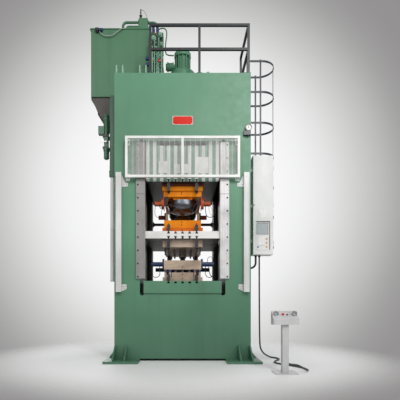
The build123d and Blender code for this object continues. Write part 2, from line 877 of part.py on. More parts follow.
# Light curtains: two posts with a recessed window down the front, on brackets on the front plate
curtain_window = 64
curtain_recess = 5
curtain_y = front_y - curtain_depth / 2
curtain_inner = curtain_x - curtain_width / 2
with BuildPart() as light_curtains:
    with BuildSketch(Plane.XY.offset(curtain_bottom)):
        with Locations((-curtain_x, curtain_y), (curtain_x, curtain_y)):
            RectangleRounded(curtain_width, curtain_depth, 8)
    extrude(amount=curtain_top - curtain_bottom)
    with BuildSketch(Plane.XZ.offset(curtain_depth - front_y)):
        with Locations((0, (curtain_bottom + curtain_top) / 2)):
            with GridLocations(2 * curtain_x, 0, 2, 1):
                Rectangle(curtain_window, curtain_top - curtain_bottom - 180)
    extrude(amount=-curtain_recess, mode=Mode.SUBTRACT)
    with BuildSketch(Plane.XZ.offset(-front_y)) as bracket_outline:
        for sx in (-1, 1):
            with BuildLine():
                Polyline(
                    (sx * curtain_inner, curtain_top - 30),
                    (sx * (curtain_inner - 85), curtain_top - 200),
                    (sx * (curtain_inner - curtain_bracket_reach), curtain_top - 205),
                    (sx * (curtain_inner - curtain_bracket_reach), curtain_top - 275),
                    (sx * curtain_inner, curtain_top - 285),
                    close=True,
                )
            make_face()
            with BuildLine():
                Polyline(
                    (sx * curtain_inner, curtain_bottom + 165),
                    (sx * (curtain_inner - 100), curtain_bottom + 165),
                    (sx * (curtain_inner - 105), curtain_bottom + 70),
                    (sx * curtain_inner, curtain_bottom + 15),
                    close=True,
                )
            make_face()
            with Locations(
                (sx * (curtain_inner - 100), curtain_top - 240),
                (sx * (curtain_inner - 30), curtain_top - 240),
                (sx * (curtain_inner - 30), curtain_bottom + 120),
                (sx * (curtain_inner - 75), curtain_bottom + 120),
                (sx * (curtain_inner - 52), curtain_bottom + 80),
            ):
                Circle(9, mode=Mode.SUBTRACT)
    extrude(amount=curtain_bracket_thickness)
save(light_curtains, "light_curtains")

# Cable duct on the left column: two slim lengths on clips, and a wider one above them
duct_x = -side_x - duct_gap - duct_width / 2
duct_clip_z = (duct_bottom + 250, duct_joint - 300, duct_joint + 300, duct_top - 250)
with BuildPart() as side_duct:
    for low, high in ((duct_bottom, duct_joint - 3), (duct_joint + 3, duct_top)):
        with BuildSketch(Plane.XY.offset(low)):
            with Locations((duct_x, duct_y)):
                RectangleRounded(duct_width, duct_depth, 5)
        extrude(amount=high - low)
    for z in duct_clip_z:
        block((-side_x - duct_gap, -side_x), span(duct_y, 50), span(z, 40))
    with BuildSketch(Plane.XY.offset(duct_top + 6)):
        with Locations((-side_x - duct_high_width / 2 - running_gap, duct_y)):
            RectangleRounded(duct_high_width, duct_depth, 5)
    extrude(amount=duct_high - duct_top - 6)
save(side_duct, "side_duct")

# Guard rail on the crown, from square tube
rail_posts = [(right_post_x - i * rail_post_pitch, handrail_y) for i in range(3)] + [
    (right_post_x, handrail_end_y)
]
left_post_x = right_post_x - 2 * rail_post_pitch
post_foot = 110
post_foot_thickness = 12
foot_places = [(min(x, side_x - post_foot / 2), max(y, front_y + post_foot / 2)) for x, y in rail_posts]
with BuildPart() as guard_rail:
    with BuildSketch(Plane.XY.offset(crown_top)):
        with Locations(*foot_places):
            Rectangle(post_foot, post_foot)
    extrude(amount=post_foot_thickness)
    with BuildSketch(Plane.XY.offset(crown_top)):
        with Locations(*rail_posts):
            Rectangle(post_size, post_size)
    extrude(amount=handrail_z - crown_top)
    for z in (midrail_z, handrail_z):
        front_run = (left_post_x - post_size / 2, right_post_x + post_size / 2)
        side_run = (handrail_y - post_size / 2, handrail_end_y + post_size / 2)
        block(front_run, span(handrail_y, post_size), span(z, post_size))
        block(span(right_post_x, post_size), side_run, span(z, post_size))
save(guard_rail, "guard_rail")

# Ladder on the right column
ladder_bracket_z = (700, 2100, 3900, 5700)
rung_count = int((ladder_top - ladder_bottom - 200) / rung_pitch) + 1
with BuildPart() as ladder:
    with BuildSketch(Plane.XY.offset(ladder_bottom)):
        with Locations((ladder_x, ladder_y)):
            with GridLocations(0, 2 * ladder_half, 1, 2):
                Rectangle(stringer_width, stringer_thickness)
    extrude(amount=ladder_top - ladder_bottom)
    with BuildSketch(Plane.XZ.offset(-(ladder_y - ladder_half))):
        with Locations(*[(ladder_x, ladder_bottom + 150 + i * rung_pitch) for i in range(rung_count)]):
            Circle(rung_radius)
    extrude(amount=-2 * ladder_half)
    for z in ladder_bracket_z:
        for sy in (-1, 1):
            bracket_y = span(ladder_y + sy * ladder_half, stringer_thickness)
            block((side_x, ladder_x), bracket_y, span(z, 60))
            block((side_x, side_x + 10), span(ladder_y + sy * ladder_half, 90), span(z, 90))
save(ladder, "ladder")

# Cage of the ladder: hoops open towards the rungs, and three upright strips inside them
cage_back_x = ladder_x + stringer_width / 2
hoop_x = cage_back_x + hoop_reach
hoop_z = [hoop_top - i * hoop_pitch for i in range(hoop_count)]
cage_low = hoop_z[-1] - hoop_height / 2 - 20
cage_high = hoop_top + hoop_height / 2 + 20
with BuildPart() as ladder_cage:
    for z in hoop_z:
        with BuildSketch(Plane.XY.offset(z - hoop_height / 2)):
            for inset, mode in ((0, Mode.ADD), (hoop_thickness, Mode.SUBTRACT)):
                radius = hoop_radius - inset
                with BuildLine():
                    Line((cage_back_x + inset, ladder_y - radius), (hoop_x, ladder_y - radius))
                    RadiusArc((hoop_x, ladder_y - radius), (hoop_x, ladder_y + radius), -radius)
                    Line((hoop_x, ladder_y + radius), (cage_back_x + inset, ladder_y + radius))
                    Line(
                        (cage_back_x + inset, ladder_y + radius),
                        (cage_back_x + inset, ladder_y - radius),
                    )
                make_face(mode=mode)
            with Locations((cage_back_x, ladder_y)):
                Rectangle(3 * hoop_thickness, 2 * ladder_half - stringer_thickness, mode=Mode.SUBTRACT)
        extrude(amount=hoop_height)
    strip_reach = sqrt((hoop_radius - hoop_thickness) ** 2 - (strip_width / 2) ** 2)
    strip_inset = strip_reach - running_gap - hoop_thickness / 2
    with BuildSketch(Plane.XY.offset(cage_low)):
        with Locations(*[(hoop_x - strip_width, ladder_y + sy * strip_inset) for sy in (-1, 1)]):
            Rectangle(strip_width, hoop_thickness)
        with Locations((hoop_x + strip_inset, ladder_y)):
            Rectangle(hoop_thickness, strip_width)
    extrude(amount=cage_high - cage_low)
save(ladder_cage, "ladder_cage")

# Lifting lugs along the crown's front left, and two small eyes
lug_thickness = 25
lug_height = 215
lug_depth = 170
lug_hole_radius = 32
lug_y = front_y + 120
lug_x = (-1412, -1280, -914, -783)
eye_x = (-545, 545)
with BuildPart() as lifting_lugs:
    for x in lug_x:
        with BuildSketch(Plane.YZ.offset(x - lug_thickness / 2)):
            with Locations((lug_y, crown_top + lug_height / 2)):
                Rectangle(lug_depth, lug_height)
            with Locations((lug_y, crown_top + lug_height - 70)):
                Circle(lug_hole_radius, mode=Mode.SUBTRACT)
        extrude(amount=lug_thickness)
    lug_corners = lifting_lugs.edges().filter_by(Axis.X).group_by(Axis.Z)[-1]
    fillet(lug_corners, 60)
    for x in eye_x:
        with BuildSketch(Plane.XZ.offset(-(front_y + 70))):
            with Locations((x, crown_top + 34)):
                Circle(34)
            with Locations((x, crown_top + 12)):
                Rectangle(60, 24)
            with Locations((x, crown_top + 36)):
                Circle(18, mode=Mode.SUBTRACT)
        extrude(amount=-20)
save(lifting_lugs, "lifting_lugs")

# Valve manifold on the crown: stacked blocks with cartridge covers and side ports
manifold_x = -580
manifold_y = -300
manifold_tiers = ((300, 320, 470), (250, 270, 420), (280, 230, 389))
port_radius = 42
port_length = 38
manifold_top = crown_top + sum(height for _, _, height in manifold_tiers)
with BuildPart() as valve_manifold:
    tier_bottom = crown_top
    for width, depth, height in manifold_tiers:
        with BuildSketch(Plane.XY.offset(tier_bottom)):
            with Locations((manifold_x, manifold_y)):
                Rectangle(width, depth)
        extrude(amount=height)
        with BuildSketch(Plane.XZ.offset(-(manifold_y - depth / 2))):
            with Locations((manifold_x, tier_bottom + height / 2)):
                with GridLocations(width / 2, height / 2, 2, 2):
                    Circle(port_radius)
        extrude(amount=port_length)
        tier_bottom += height
    chamfer(valve_manifold.edges().filter_by(Axis.Z), 6)
save(valve_manifold, "valve_manifold")

# Solenoids: upright coils on the manifold and two lying ones on its left face
coil_width = 62
coil_height = 190
coil_pin_radius = 16
with BuildPart() as valve_solenoids:
    with BuildSketch(Plane.XY.offset(manifold_top)):
        with Locations((manifold_x - 45, manifold_y)):
            with GridLocations(95, 90, 2, 2):
                RectangleRounded(coil_width, coil_width, 10)
    extrude(amount=coil_height)
    with BuildSketch(Plane.XY.offset(manifold_top + coil_height)):
        with Locations((manifold_x - 45, manifold_y)):
            with GridLocations(95, 90, 2, 2):
                Circle(coil_pin_radius)
    extrude(amount=34)
    with BuildSketch(Plane.YZ.offset(manifold_x - manifold_tiers[1][0] / 2)):
        for z in (crown_top + 620, crown_top + 760):
            with Locations((manifold_y, z)):
                RectangleRounded(coil_width, coil_width, 10)
    extrude(amount=-150)
save(valve_solenoids, "valve_solenoids")

# Pressure gauge on a terminal block at the crown's right
gauge_x = 1395
gauge_z = 4946
gauge_radius = 70
gauge_depth = 46
gauge_bezel = 7
gauge_block_width = 150
gauge_block_height = 92
gauge_block_depth = 60
gauge_back = front_y - 8
needle_radius = 3
needle_gap = 1.5
gauge_dial_y = gauge_back - gauge_depth + 12
with BuildPart() as pressure_gauge:
    with BuildSketch(Plane.XY):
        with BuildLine():
            Polyline(
                (0, 0),
                (gauge_radius, 0),
                (gauge_radius, gauge_depth),
                (gauge_radius - gauge_bezel, gauge_depth),
                (gauge_radius - gauge_bezel, gauge_depth - 12),
                (needle_radius + fit_gap, gauge_depth - 12),
                (needle_radius + fit_gap, gauge_depth - 22),
                (0, gauge_depth - 22),
                close=True,
            )
        make_face()
    revolve(axis=Axis.Y)
    gauge_case = pressure_gauge.part
with BuildPart() as pressure_gauge:
    add(Pos(gauge_x, gauge_back, gauge_z) * Rot(Z=180) * gauge_case)
    block(span(gauge_x, 40), (gauge_back, front_y), span(gauge_z, 40))
    block(
        span(gauge_x - 30, gauge_block_width),
        (front_y - gauge_block_depth, front_y),
        (gauge_z - gauge_radius - gauge_block_height, gauge_z - gauge_radius),
    )
    with BuildSketch(Plane.XY.offset(gauge_z - gauge_radius - gauge_block_height)):
        with Locations((gauge_x - 60, front_y - 30), (gauge_x - 5, front_y - 30)):
            Circle(12)
    extrude(amount=-30)
save(pressure_gauge, "pressure_gauge")

with BuildPart() as gauge_needle:
    with BuildSketch(Plane.XZ.offset(-(gauge_dial_y - needle_gap))):
        with BuildLine():
            Polyline(
                (gauge_x - 5, gauge_z - 18),
                (gauge_x + 5, gauge_z - 18),
                (gauge_x + 1.5, gauge_z + 48),
                (gauge_x - 1.5, gauge_z + 48),
                close=True,
            )
        make_face()
        with Locations((gauge_x, gauge_z)):
            Circle(9)
    extrude(amount=2)
    with BuildSketch(Plane.XZ.offset(-(gauge_dial_y - needle_gap))):
        with Locations((gauge_x, gauge_z)):
            Circle(needle_radius)
    extrude(amount=-(needle_gap + 9))
save(gauge_needle, "gauge_needle")

# Oil tank: a welded shell on the crown, overhanging to the left, with a bolted lid
tank_bottom = crown_top
tank_top = tank_bottom + tank_height
tank_wall = 8
tank_x = (tank_left + tank_right) / 2
tank_y = (tank_front + tank_back) / 2
tank_width = tank_right - tank_left
tank_depth = tank_back - tank_front
with BuildPart() as oil_tank:
    with BuildSketch(Plane.XY.offset(tank_bottom)):
        with Locations((tank_x, tank_y)):
            RectangleRounded(tank_width, tank_depth, tank_corner)
    extrude(amount=tank_height)
    with BuildSketch(Plane.XY.offset(tank_bottom + tank_wall)):
        with Locations((tank_x, tank_y)):
            RectangleRounded(tank_width - 2 * tank_wall, tank_depth - 2 * tank_wall, tank_corner - tank_wall)
    extrude(amount=tank_height - tank_wall, mode=Mode.SUBTRACT)
save(oil_tank, "oil_tank")

# Lid with its raised pump pad and pump head, sensor, level unit socket and filler neck
lid_top = tank_top + tank_lid
pad_x = (-1348, -800)
pad_y = (20, 420)
pad_top = lid_top + 110
filler_x = -1745
filler_y = 60
filler_neck_radius = 40
filler_neck_height = 22
level_x = -1985
pump_head_x = (-1057, -839)
pump_head_y = (80, 260)
pump_head_top = 8101
sensor_x = -1016
sensor_y = 170
sensor_seat = 40
sensor_radius = 13
sensor_top = 8373
pipe_radius = 30
line_z = 8050
with BuildPart() as tank_lid_plate:
    with BuildSketch(Plane.XY.offset(tank_top)):
        with Locations((tank_x, tank_y)):
            RectangleRounded(
                tank_width + 2 * tank_lid_overhang, tank_depth + 2 * tank_lid_overhang, tank_corner
            )
    extrude(amount=tank_lid)
    block(pad_x, pad_y, (lid_top, pad_top))
    with BuildSketch(Plane.XY.offset(lid_top)):
        with Locations((filler_x, filler_y)):
            Circle(filler_neck_radius)
    extrude(amount=filler_neck_height)
    block(span(level_x, 110), (-10, 90), (lid_top, lid_top + 60))
    block(pump_head_x, pump_head_y, (pad_top, pump_head_top))
    with BuildSketch(Plane.XY.offset(pump_head_top)):
        with Locations((sensor_x, sensor_y)):
            Circle(28)
    extrude(amount=sensor_seat)
    with BuildSketch(Plane.XY.offset(pump_head_top + sensor_seat)):
        with Locations((sensor_x, sensor_y)):
            Circle(sensor_radius)
    extrude(amount=sensor_top - pump_head_top - sensor_seat)
save(tank_lid_plate, "tank_lid")

# Filler cap: a domed breather over the neck
breather_radius = 62
breather_skirt = 40
breather_height = 74
breather_rise = breather_height - breather_skirt
breather_dome = (breather_radius**2 + breather_rise**2) / (2 * breather_rise)
breather_low = 4
breather_bore = filler_neck_radius + fit_gap
breather_ceiling = filler_neck_height + running_gap
with BuildPart() as filler_cap:
    with BuildSketch(Plane.XZ):
        with BuildLine():
            Polyline(
                (0, breather_height),
                (0, breather_ceiling),
                (breather_bore, breather_ceiling),
                (breather_bore, breather_low),
                (breather_radius, breather_low),
                (breather_radius, breather_skirt),
            )
            RadiusArc((breather_radius, breather_skirt), (0, breather_height), -breather_dome)
        make_face()
    revolve(axis=Axis.Z)
    filler_shape = filler_cap.part
with BuildPart() as filler_cap:
    add(Pos(filler_x, filler_y, lid_top) * filler_shape)
save(filler_cap, "filler_cap")

# Column brackets: triangular cheeks under the tank's overhang, and the pump unit's plate and arms
unit_plate_thickness = 20
unit_y = (-760, -340)
motor_x = -1712
motor_y = -550
motor_radius = 58
riser_x = -1617
riser_y = -550
riser_low = 4182
arm_z = (4955, 4700)
with BuildPart() as column_brackets:
    for y in (tank_front + 40, tank_back - 340):
        with BuildSketch(Plane.XZ.offset(-y)):
            with BuildLine():
                Polyline(
                    (-side_x, tank_bottom),
                    (tank_left, tank_bottom),
                    (tank_left, tank_bottom - 50),
                    (bracket_foot_x, tank_bottom - bracket_drop),
                    (-side_x, tank_bottom - bracket_drop - 170),
                    close=True,
                )
            make_face()
        extrude(amount=-bracket_thickness)
    block((-side_x - unit_plate_thickness, -side_x), unit_y, (4250, 5600))
    arm_x = (motor_x - motor_radius - 20, -side_x - unit_plate_thickness)
    for z in arm_z:
        block(arm_x, (motor_y + 30, motor_y + 160), (z, z + 35))
        block((arm_x[0], motor_x + motor_radius), (motor_y - 60, motor_y + 160), (z, z + 35))
    for z in (4260, 5480):
        block((riser_x - 30, arm_x[1]), (riser_y + 23.3, riser_y + 60), (z, z + 60))
save(column_brackets, "column_brackets")



def pipe_run(points, bends, radius, flange_radius=0, flange_thickness=18):
    """A bent pipe with a flange at each end, in the part being built."""
    with BuildLine() as route:
        FilletPolyline(*points, radius=bends)
    wire = route.wires()[0]
    for place, way in ((wire @ 0, wire % 0), (wire @ 1, (wire % 1) * -1)):
        if flange_radius:
            with BuildSketch(Plane(place, z_dir=way)) as flange:
                Circle(flange_radius)
            extrude(flange.sketch, amount=flange_thickness)
    with BuildSketch(Plane(wire @ 0, z_dir=wire % 0)) as section:
        Circle(radius)
    sweep(section.sketch, path=wire)


# Oil pipes: suction from the tank, delivery to the manifold, and the riser at the pump
riser_high = 5735
suction_x = -1445
line_y = 170
delivery_x = manifold_x - 42
delivery_z = manifold_top - 180
riser_route = [(riser_x, riser_y, riser_low), (riser_x, riser_y, riser_high), (-side_x, riser_y, riser_high)]
with BuildPart() as oil_pipes:
    pipe_run(
        [(suction_x, line_y, lid_top), (suction_x, line_y, line_z), (pump_head_x[0], line_y, line_z)],
        90,
        pipe_radius,
        58,
    )
    pipe_run(
        [
            (pump_head_x[1], line_y, line_z),
            (delivery_x, line_y, line_z),
            (delivery_x, line_y, delivery_z),
            (delivery_x, manifold_y + manifold_tiers[-1][1] / 2, delivery_z),
        ],
        90,
        24,
        44,
    )
    pipe_run(riser_route, 80, 23, 40)
    upright(riser_x, riser_y, (riser_low - 112, riser_low), 34)
save(oil_pipes, "oil_pipes")

# Pump unit on the left column: motor, filter and shut-off valve
motor_low = 4990
motor_high = 5465
filter_radius = 60
filter_low = 4464
filter_high = 4700
valve_z = 4790

with BuildPart() as pump_motor:
    with BuildSketch(Plane.XY.offset(motor_low)):
        with Locations((motor_x, motor_y)):
            Circle(motor_radius)
    extrude(amount=motor_high - motor_low - 60)
    with BuildSketch(Plane.XY.offset(motor_low + 60)):
        with Locations((motor_x, motor_y)):
            with PolarLocations(motor_radius, 16):
                Rectangle(18, 6)
    extrude(amount=motor_high - motor_low - 160)
    with BuildSketch(Plane.XY.offset(motor_high - 60)):
        with Locations((motor_x, motor_y)):
            Circle(motor_radius + 8)
    extrude(amount=60, taper=18)
    block((-1885, motor_x - motor_radius + 12), span(motor_y - 10, 110), (motor_low + 20, motor_low + 200))
save(pump_motor, "pump_motor")

with BuildPart() as oil_filter:
    with BuildSketch(Plane.XZ):
        with BuildLine():
            Polyline(
                (0, filter_low),
                (filter_radius - 20, filter_low),
                (filter_radius, filter_low + 20),
                (filter_radius, filter_high - 50),
                (filter_radius + 10, filter_high - 50),
                (filter_radius + 10, filter_high),
                (0, filter_high),
                close=True,
            )
        make_face()
    revolve(axis=Axis.Z)
    filter_shape = oil_filter.part
valve_body_low = arm_z[1] + 35
valve_body_high = arm_z[0]
lever_length = 150
stem_radius = 9
with BuildPart() as oil_filter:
    block(span(motor_x, 100), span(motor_y, 100), (valve_body_low, valve_body_high))
    chamfer(oil_filter.edges().filter_by(Axis.Z), 14)
    add(Pos(motor_x, motor_y, 0) * filter_shape)
    with BuildSketch(Plane.XZ.offset(-(motor_y - 50))):
        with Locations((motor_x, valve_z + 50)):
            Circle(24)
            Circle(stem_radius + fit_gap, mode=Mode.SUBTRACT)
    extrude(amount=20)
save(oil_filter, "oil_filter")

with BuildPart() as valve_handle:
    with BuildSketch(Plane.XZ.offset(-(motor_y - 50))):
        with Locations((motor_x, valve_z + 50)):
            Circle(stem_radius)
    extrude(amount=24)
    with BuildSketch(Plane.XZ.offset(-(motor_y - 50 - 20 - running_gap))):
        with Locations((motor_x, valve_z + 50)):
            Circle(19)
        with Locations((motor_x - lever_length / 2, valve_z + 50)):
            SlotOverall(lever_length + 26, 26)
    extrude(amount=8)
save(valve_handle, "valve_handle")

# Electrical cabinet: an open-fronted shell on stand-off arms, with a return flange round the
# door and a mounting plate with rows of control modules inside
cabinet_right = cabinet_left + cabinet_width
cabinet_back = cabinet_front + cabinet_depth
cabinet_top = cabinet_bottom + cabinet_height
cabinet_x = (cabinet_left + cabinet_right) / 2
cabinet_y = (cabinet_front + cabinet_back) / 2
cabinet_z = (cabinet_bottom + cabinet_top) / 2
cabinet_lip = 22
arm_height = 60
hinge_z = (cabinet_bottom + 260, cabinet_z, cabinet_top - 260)
hinge_length = 90
hinge_pin_radius = 5
hinge_x = cabinet_right + hinge_radius + 3
hinge_y = cabinet_front - door_gap - door_thickness / 2
module_rows = 5
module_plate_y = cabinet_back - cabinet_wall - 20
with BuildPart() as cabinet_body:
    with BuildSketch(Plane.XZ.offset(-cabinet_front)):
        with Locations((cabinet_x, cabinet_z)):
            Rectangle(cabinet_width, cabinet_height)
    extrude(amount=-cabinet_depth)
    with BuildSketch(Plane.XZ.offset(-cabinet_front - cabinet_wall)):
        with Locations((cabinet_x, cabinet_z)):
            Rectangle(cabinet_width - 2 * cabinet_wall, cabinet_height - 2 * cabinet_wall)
    extrude(amount=-(cabinet_depth - 2 * cabinet_wall), mode=Mode.SUBTRACT)
    with BuildSketch(Plane.XZ.offset(-cabinet_front)):
        with Locations((cabinet_x, cabinet_z)):
            Rectangle(cabinet_width - 2 * cabinet_lip, cabinet_height - 2 * cabinet_lip)
    extrude(amount=-cabinet_wall, mode=Mode.SUBTRACT)
    for z in (cabinet_bottom + 300, cabinet_z, cabinet_top - 300):
        block((side_x, cabinet_left), span(cabinet_y, 180), span(z, arm_height))
    for z in hinge_z:
        block((cabinet_right, hinge_x), (cabinet_front, cabinet_front + 8), (z - hinge_length / 2, z - 1))
        block((hinge_x - 4, hinge_x + 4), (hinge_y, cabinet_front + 8), (z - hinge_length / 2, z - 1))
        upright(hinge_x, hinge_y, (z - hinge_length / 2, z - 1), hinge_radius)
        upright(hinge_x, hinge_y, (z - 1, z + hinge_length / 2 - 4), hinge_pin_radius)
    block(
        span(cabinet_x, cabinet_width - 70),
        (module_plate_y - 3, module_plate_y),
        (cabinet_bottom + 60, cabinet_top - 60),
    )
    for z in (cabinet_bottom + 120, cabinet_top - 120):
        for x in (cabinet_left + 60, cabinet_right - 60):
            block(span(x, 20), (module_plate_y, cabinet_back - cabinet_wall), span(z, 20))
    with BuildSketch(Plane.XZ.offset(-(module_plate_y - 3))):
        with Locations((cabinet_x, cabinet_z + 60)):
            with GridLocations(110, 360, 3, module_rows):
                Rectangle(92, 190)
    extrude(amount=95)
save(cabinet_body, "cabinet_body")

# Door of the cabinet: a pan with a recessed control panel, hinge knuckles on its right
door_front = cabinet_front - door_gap - door_thickness
panel_left = 1608
panel_right = 1918
panel_bottom = 2400
panel_top = 3023
panel_recess = 8
screen_x = (1635, 1872)
screen_z = (2752, 2985)
panel_buttons = {
    "cycle_button": (1844, 2642),
    "raise_button": (1844, 2554),
    "lower_button": (1844, 2466),
    "reset_button": (1654, 2466),
}
button_stem_radius = 11
button_cap_radius = 17
button_cap_height = 9
button_travel = 5
lock_x = cabinet_left + 28
lock_z = cabinet_z
lock_radius = 13
door_skin = 3
recess_y = door_front + panel_recess
with BuildPart() as cabinet_door:
    with BuildSketch(Plane.XZ.offset(-door_front)):
        with Locations((cabinet_x, cabinet_z)):
            Rectangle(cabinet_width, cabinet_height)
    extrude(amount=-door_thickness)
    with BuildSketch(Plane.XZ.offset(-door_front - panel_recess - door_skin)):
        with Locations((cabinet_x, cabinet_z)):
            Rectangle(cabinet_width - 2 * door_skin, cabinet_height - 2 * door_skin)
    extrude(amount=-door_thickness, mode=Mode.SUBTRACT)
    with BuildSketch(Plane.XZ.offset(-door_front)):
        with Locations(((panel_left + panel_right) / 2, (panel_bottom + panel_top) / 2)):
            RectangleRounded(panel_right - panel_left, panel_top - panel_bottom, 8)
    extrude(amount=-panel_recess, mode=Mode.SUBTRACT)
    with BuildSketch(Plane.XZ.offset(-door_front)):
        with Locations(*panel_buttons.values()):
            Circle(button_stem_radius + fit_gap)
        with Locations((lock_x, lock_z)):
            Circle(lock_radius + fit_gap)
    extrude(amount=-door_thickness, mode=Mode.SUBTRACT)
    for z in hinge_z:
        block((cabinet_right - door_skin, hinge_x), span(hinge_y, 6), (z + running_gap, z + hinge_length / 2))
        upright(hinge_x, hinge_y, (z + running_gap, z + hinge_length / 2), hinge_radius)
        pin_hole = (z - 1, z + hinge_length / 2 - 3)
        upright(hinge_x, hinge_y, pin_hole, hinge_pin_radius + fit_gap, Mode.SUBTRACT)
save(cabinet_door, "cabinet_door")

with BuildPart() as panel_screen:
    with BuildSketch(Plane.XZ.offset(-recess_y)):
        with Locations(((screen_x[0] + screen_x[1]) / 2, (screen_z[0] + screen_z[1]) / 2)):
            RectangleRounded(screen_x[1] - screen_x[0], screen_z[1] - screen_z[0], 6)
    extrude(amount=panel_recess - 1)
    chamfer(panel_screen.faces().sort_by(Axis.Y)[0].edges(), 3)
save(panel_screen, "panel_screen")

with BuildPart() as door_lock:
    with BuildSketch(Plane.XZ.offset(-door_front)):
        with Locations((lock_x, lock_z)):
            Circle(lock_radius)
    extrude(amount=-(panel_recess + door_skin + 12))
    with BuildSketch(Plane.XZ.offset(-door_front + running_gap)):
        with Locations((lock_x, lock_z)):
            Circle(lock_radius + 7)
    extrude(amount=6)
    block(span(lock_x, 8), (door_front - 26, door_front - 6), span(lock_z, 36))
save(door_lock, "door_lock")

# Panel buttons: stems run in the door's holes and the caps stand clear of the panel
for name, (x, z) in panel_buttons.items():
    with BuildPart() as button:
        with BuildSketch(Plane.XZ.offset(-recess_y)):
            with Locations((x, z)):
                Circle(button_stem_radius)
        extrude(amount=-12)
        extrude(button.faces().sort_by(Axis.Y)[0], amount=button_travel + 1)
        with BuildSketch(Plane.XZ.offset(-recess_y + button_travel + 1)):
            with Locations((x, z)):
                Circle(button_cap_radius)
        extrude(amount=button_cap_height)
        fillet(button.faces().sort_by(Axis.Y)[0].edges(), 3)
    save(button, name)

# Console pedestal: base plate and post
console_post_top = pedestal_height - head_height
with BuildPart() as pedestal_post_part:
    with BuildSketch():
        with Locations((pedestal_x, pedestal_y)):
            RectangleRounded(pedestal_base, pedestal_base, 20)
    extrude(amount=pedestal_base_thickness)
    with BuildSketch(Plane.XY.offset(pedestal_base_thickness)):
        with Locations((pedestal_x, pedestal_y)):
            RectangleRounded(pedestal_post, pedestal_post, 10)
    extrude(amount=console_post_top - pedestal_base_thickness)
save(pedestal_post_part, "pedestal_post")

# Console head: a sloping desk with a hood round each hand button
slope = degrees(atan2(head_height - head_front_height, head_depth))
slope_normal = (0, -sin(radians(slope)), cos(radians(slope)))
slope_centre = (pedestal_x, pedestal_y, console_post_top + (head_front_height + head_height) / 2)
desk = Plane(origin=slope_centre, x_dir=(1, 0, 0), z_dir=slope_normal)
hand_x = head_width / 2 - 62
hood_radius = 46
stop_place = (-34, 6)
mode_place = (38, 0)
console_stem_radius = 12
hole_depth = 40
with BuildPart() as pedestal_head:
    with BuildSketch(Plane.YZ.offset(pedestal_x - head_width / 2)):
        with BuildLine():
            Polyline(
                (pedestal_y - head_depth / 2, console_post_top),
                (pedestal_y + head_depth / 2, console_post_top),
                (pedestal_y + head_depth / 2, console_post_top + head_height),
                (pedestal_y - head_depth / 2, console_post_top + head_front_height),
                close=True,
            )
        make_face()
    extrude(amount=head_width)
    fillet(pedestal_head.edges().filter_by(Axis.Z), 14)
    with BuildSketch(desk):
        with Locations((-hand_x, 0), (hand_x, 0)):
            Circle(hood_radius)
            Circle(hood_radius - hood_wall, mode=Mode.SUBTRACT)
            with Locations((0, -hood_radius)):
                Rectangle(2 * hood_radius, 1.3 * hood_radius, mode=Mode.SUBTRACT)
    extrude(amount=hood_height)
    with BuildSketch(desk):
        with Locations((-hand_x, 0), (hand_x, 0), stop_place, mode_place):
            Circle(console_stem_radius + fit_gap)
    extrude(amount=-hole_depth, mode=Mode.SUBTRACT)
save(pedestal_head, "pedestal_head")

# Console buttons: name, place on the desk, cap radius and cap height
console_buttons = {
    "hand_button_left": ((-hand_x, 0), hand_button_radius, 20),
    "hand_button_right": ((hand_x, 0), hand_button_radius, 20),
    "stop_button": (stop_place, 22, 22),
    "mode_button": (mode_place, 14, 12),
}
for name, (place, cap_size, cap_rise) in console_buttons.items():
    with BuildPart() as button:
        with BuildSketch(desk.offset(-hole_depth + button_travel + 5)):
            with Locations(place):
                Circle(console_stem_radius)
        extrude(amount=hole_depth)
        with BuildSketch(desk.offset(button_travel + 1)):
            with Locations(place):
                Circle(cap_size)
        extrude(amount=cap_rise)
        cap_face = button.faces().sort_by(Axis(slope_centre, slope_normal))[-1]
        fillet(cap_face.edges(), 5)
    save(button, name)

# Glands under the cabinet, on the column and on the post, and the conduit to the column
cable_x = 1715
cable_y = -600
conduit_x = 1635
conduit_radius = 22
gland_length_cable = 42
gland_radius = 27
console_gland_z = 150
conduit_end_z = 2015
with BuildPart() as cable_glands:
    for x in (cable_x, conduit_x):
        with BuildSketch(Plane.XY.offset(cabinet_bottom)):
            with Locations((x, cable_y)):
                RegularPolygon(gland_radius + 4, 6)
        extrude(amount=-16)
        with BuildSketch(Plane.XY.offset(cabinet_bottom - 16)):
            with Locations((x, cable_y)):
                Circle(gland_radius)
        extrude(amount=-(gland_length_cable - 16), taper=8)
    with BuildSketch(Plane.YZ.offset(side_x)):
        with Locations((cable_y, conduit_end_z)):
            Circle(gland_radius + 6)
    extrude(amount=gland_length_cable, taper=8)
    with BuildSketch(Plane.YZ.offset(pedestal_x + pedestal_post / 2)):
        with Locations((pedestal_y, console_gland_z)):
            Circle(gland_radius)
    extrude(amount=gland_length_cable, taper=8)
    pipe_run(
        [
            (conduit_x, cable_y, cabinet_bottom - gland_length_cable),
            (conduit_x, cable_y, conduit_end_z),
            (side_x + gland_length_cable, cable_y, conduit_end_z),
        ],
        120,
        conduit_radius,
    )
save(cable_glands, "cable_glands")

# Console cable: hangs from the cabinet, crosses the floor in loose curves and enters the post
floor_z = cable_diameter / 2 + 0.5
cable_points = [
    (cable_x, cable_y, cabinet_bottom - gland_length_cable),
    (cable_x, cable_y, 430),
    (1752, -590, 150),
    (1950, -560, floor_z),
    (2110, -690, floor_z),
    (2090, -930, floor_z),
    (1950, -1130, floor_z),
    (1870, -1360, floor_z),
    (1940, -1580, floor_z),
    (2110, -1760, floor_z),
    (2225, -1980, floor_z),
    (2285, -2210, floor_z),
    (2245, -2410, floor_z + 2),
    (2130, -2520, 75),
    (1996, pedestal_y, console_gland_z),
    (pedestal_x + pedestal_post / 2 + gland_length_cable, pedestal_y, console_gland_z),
]


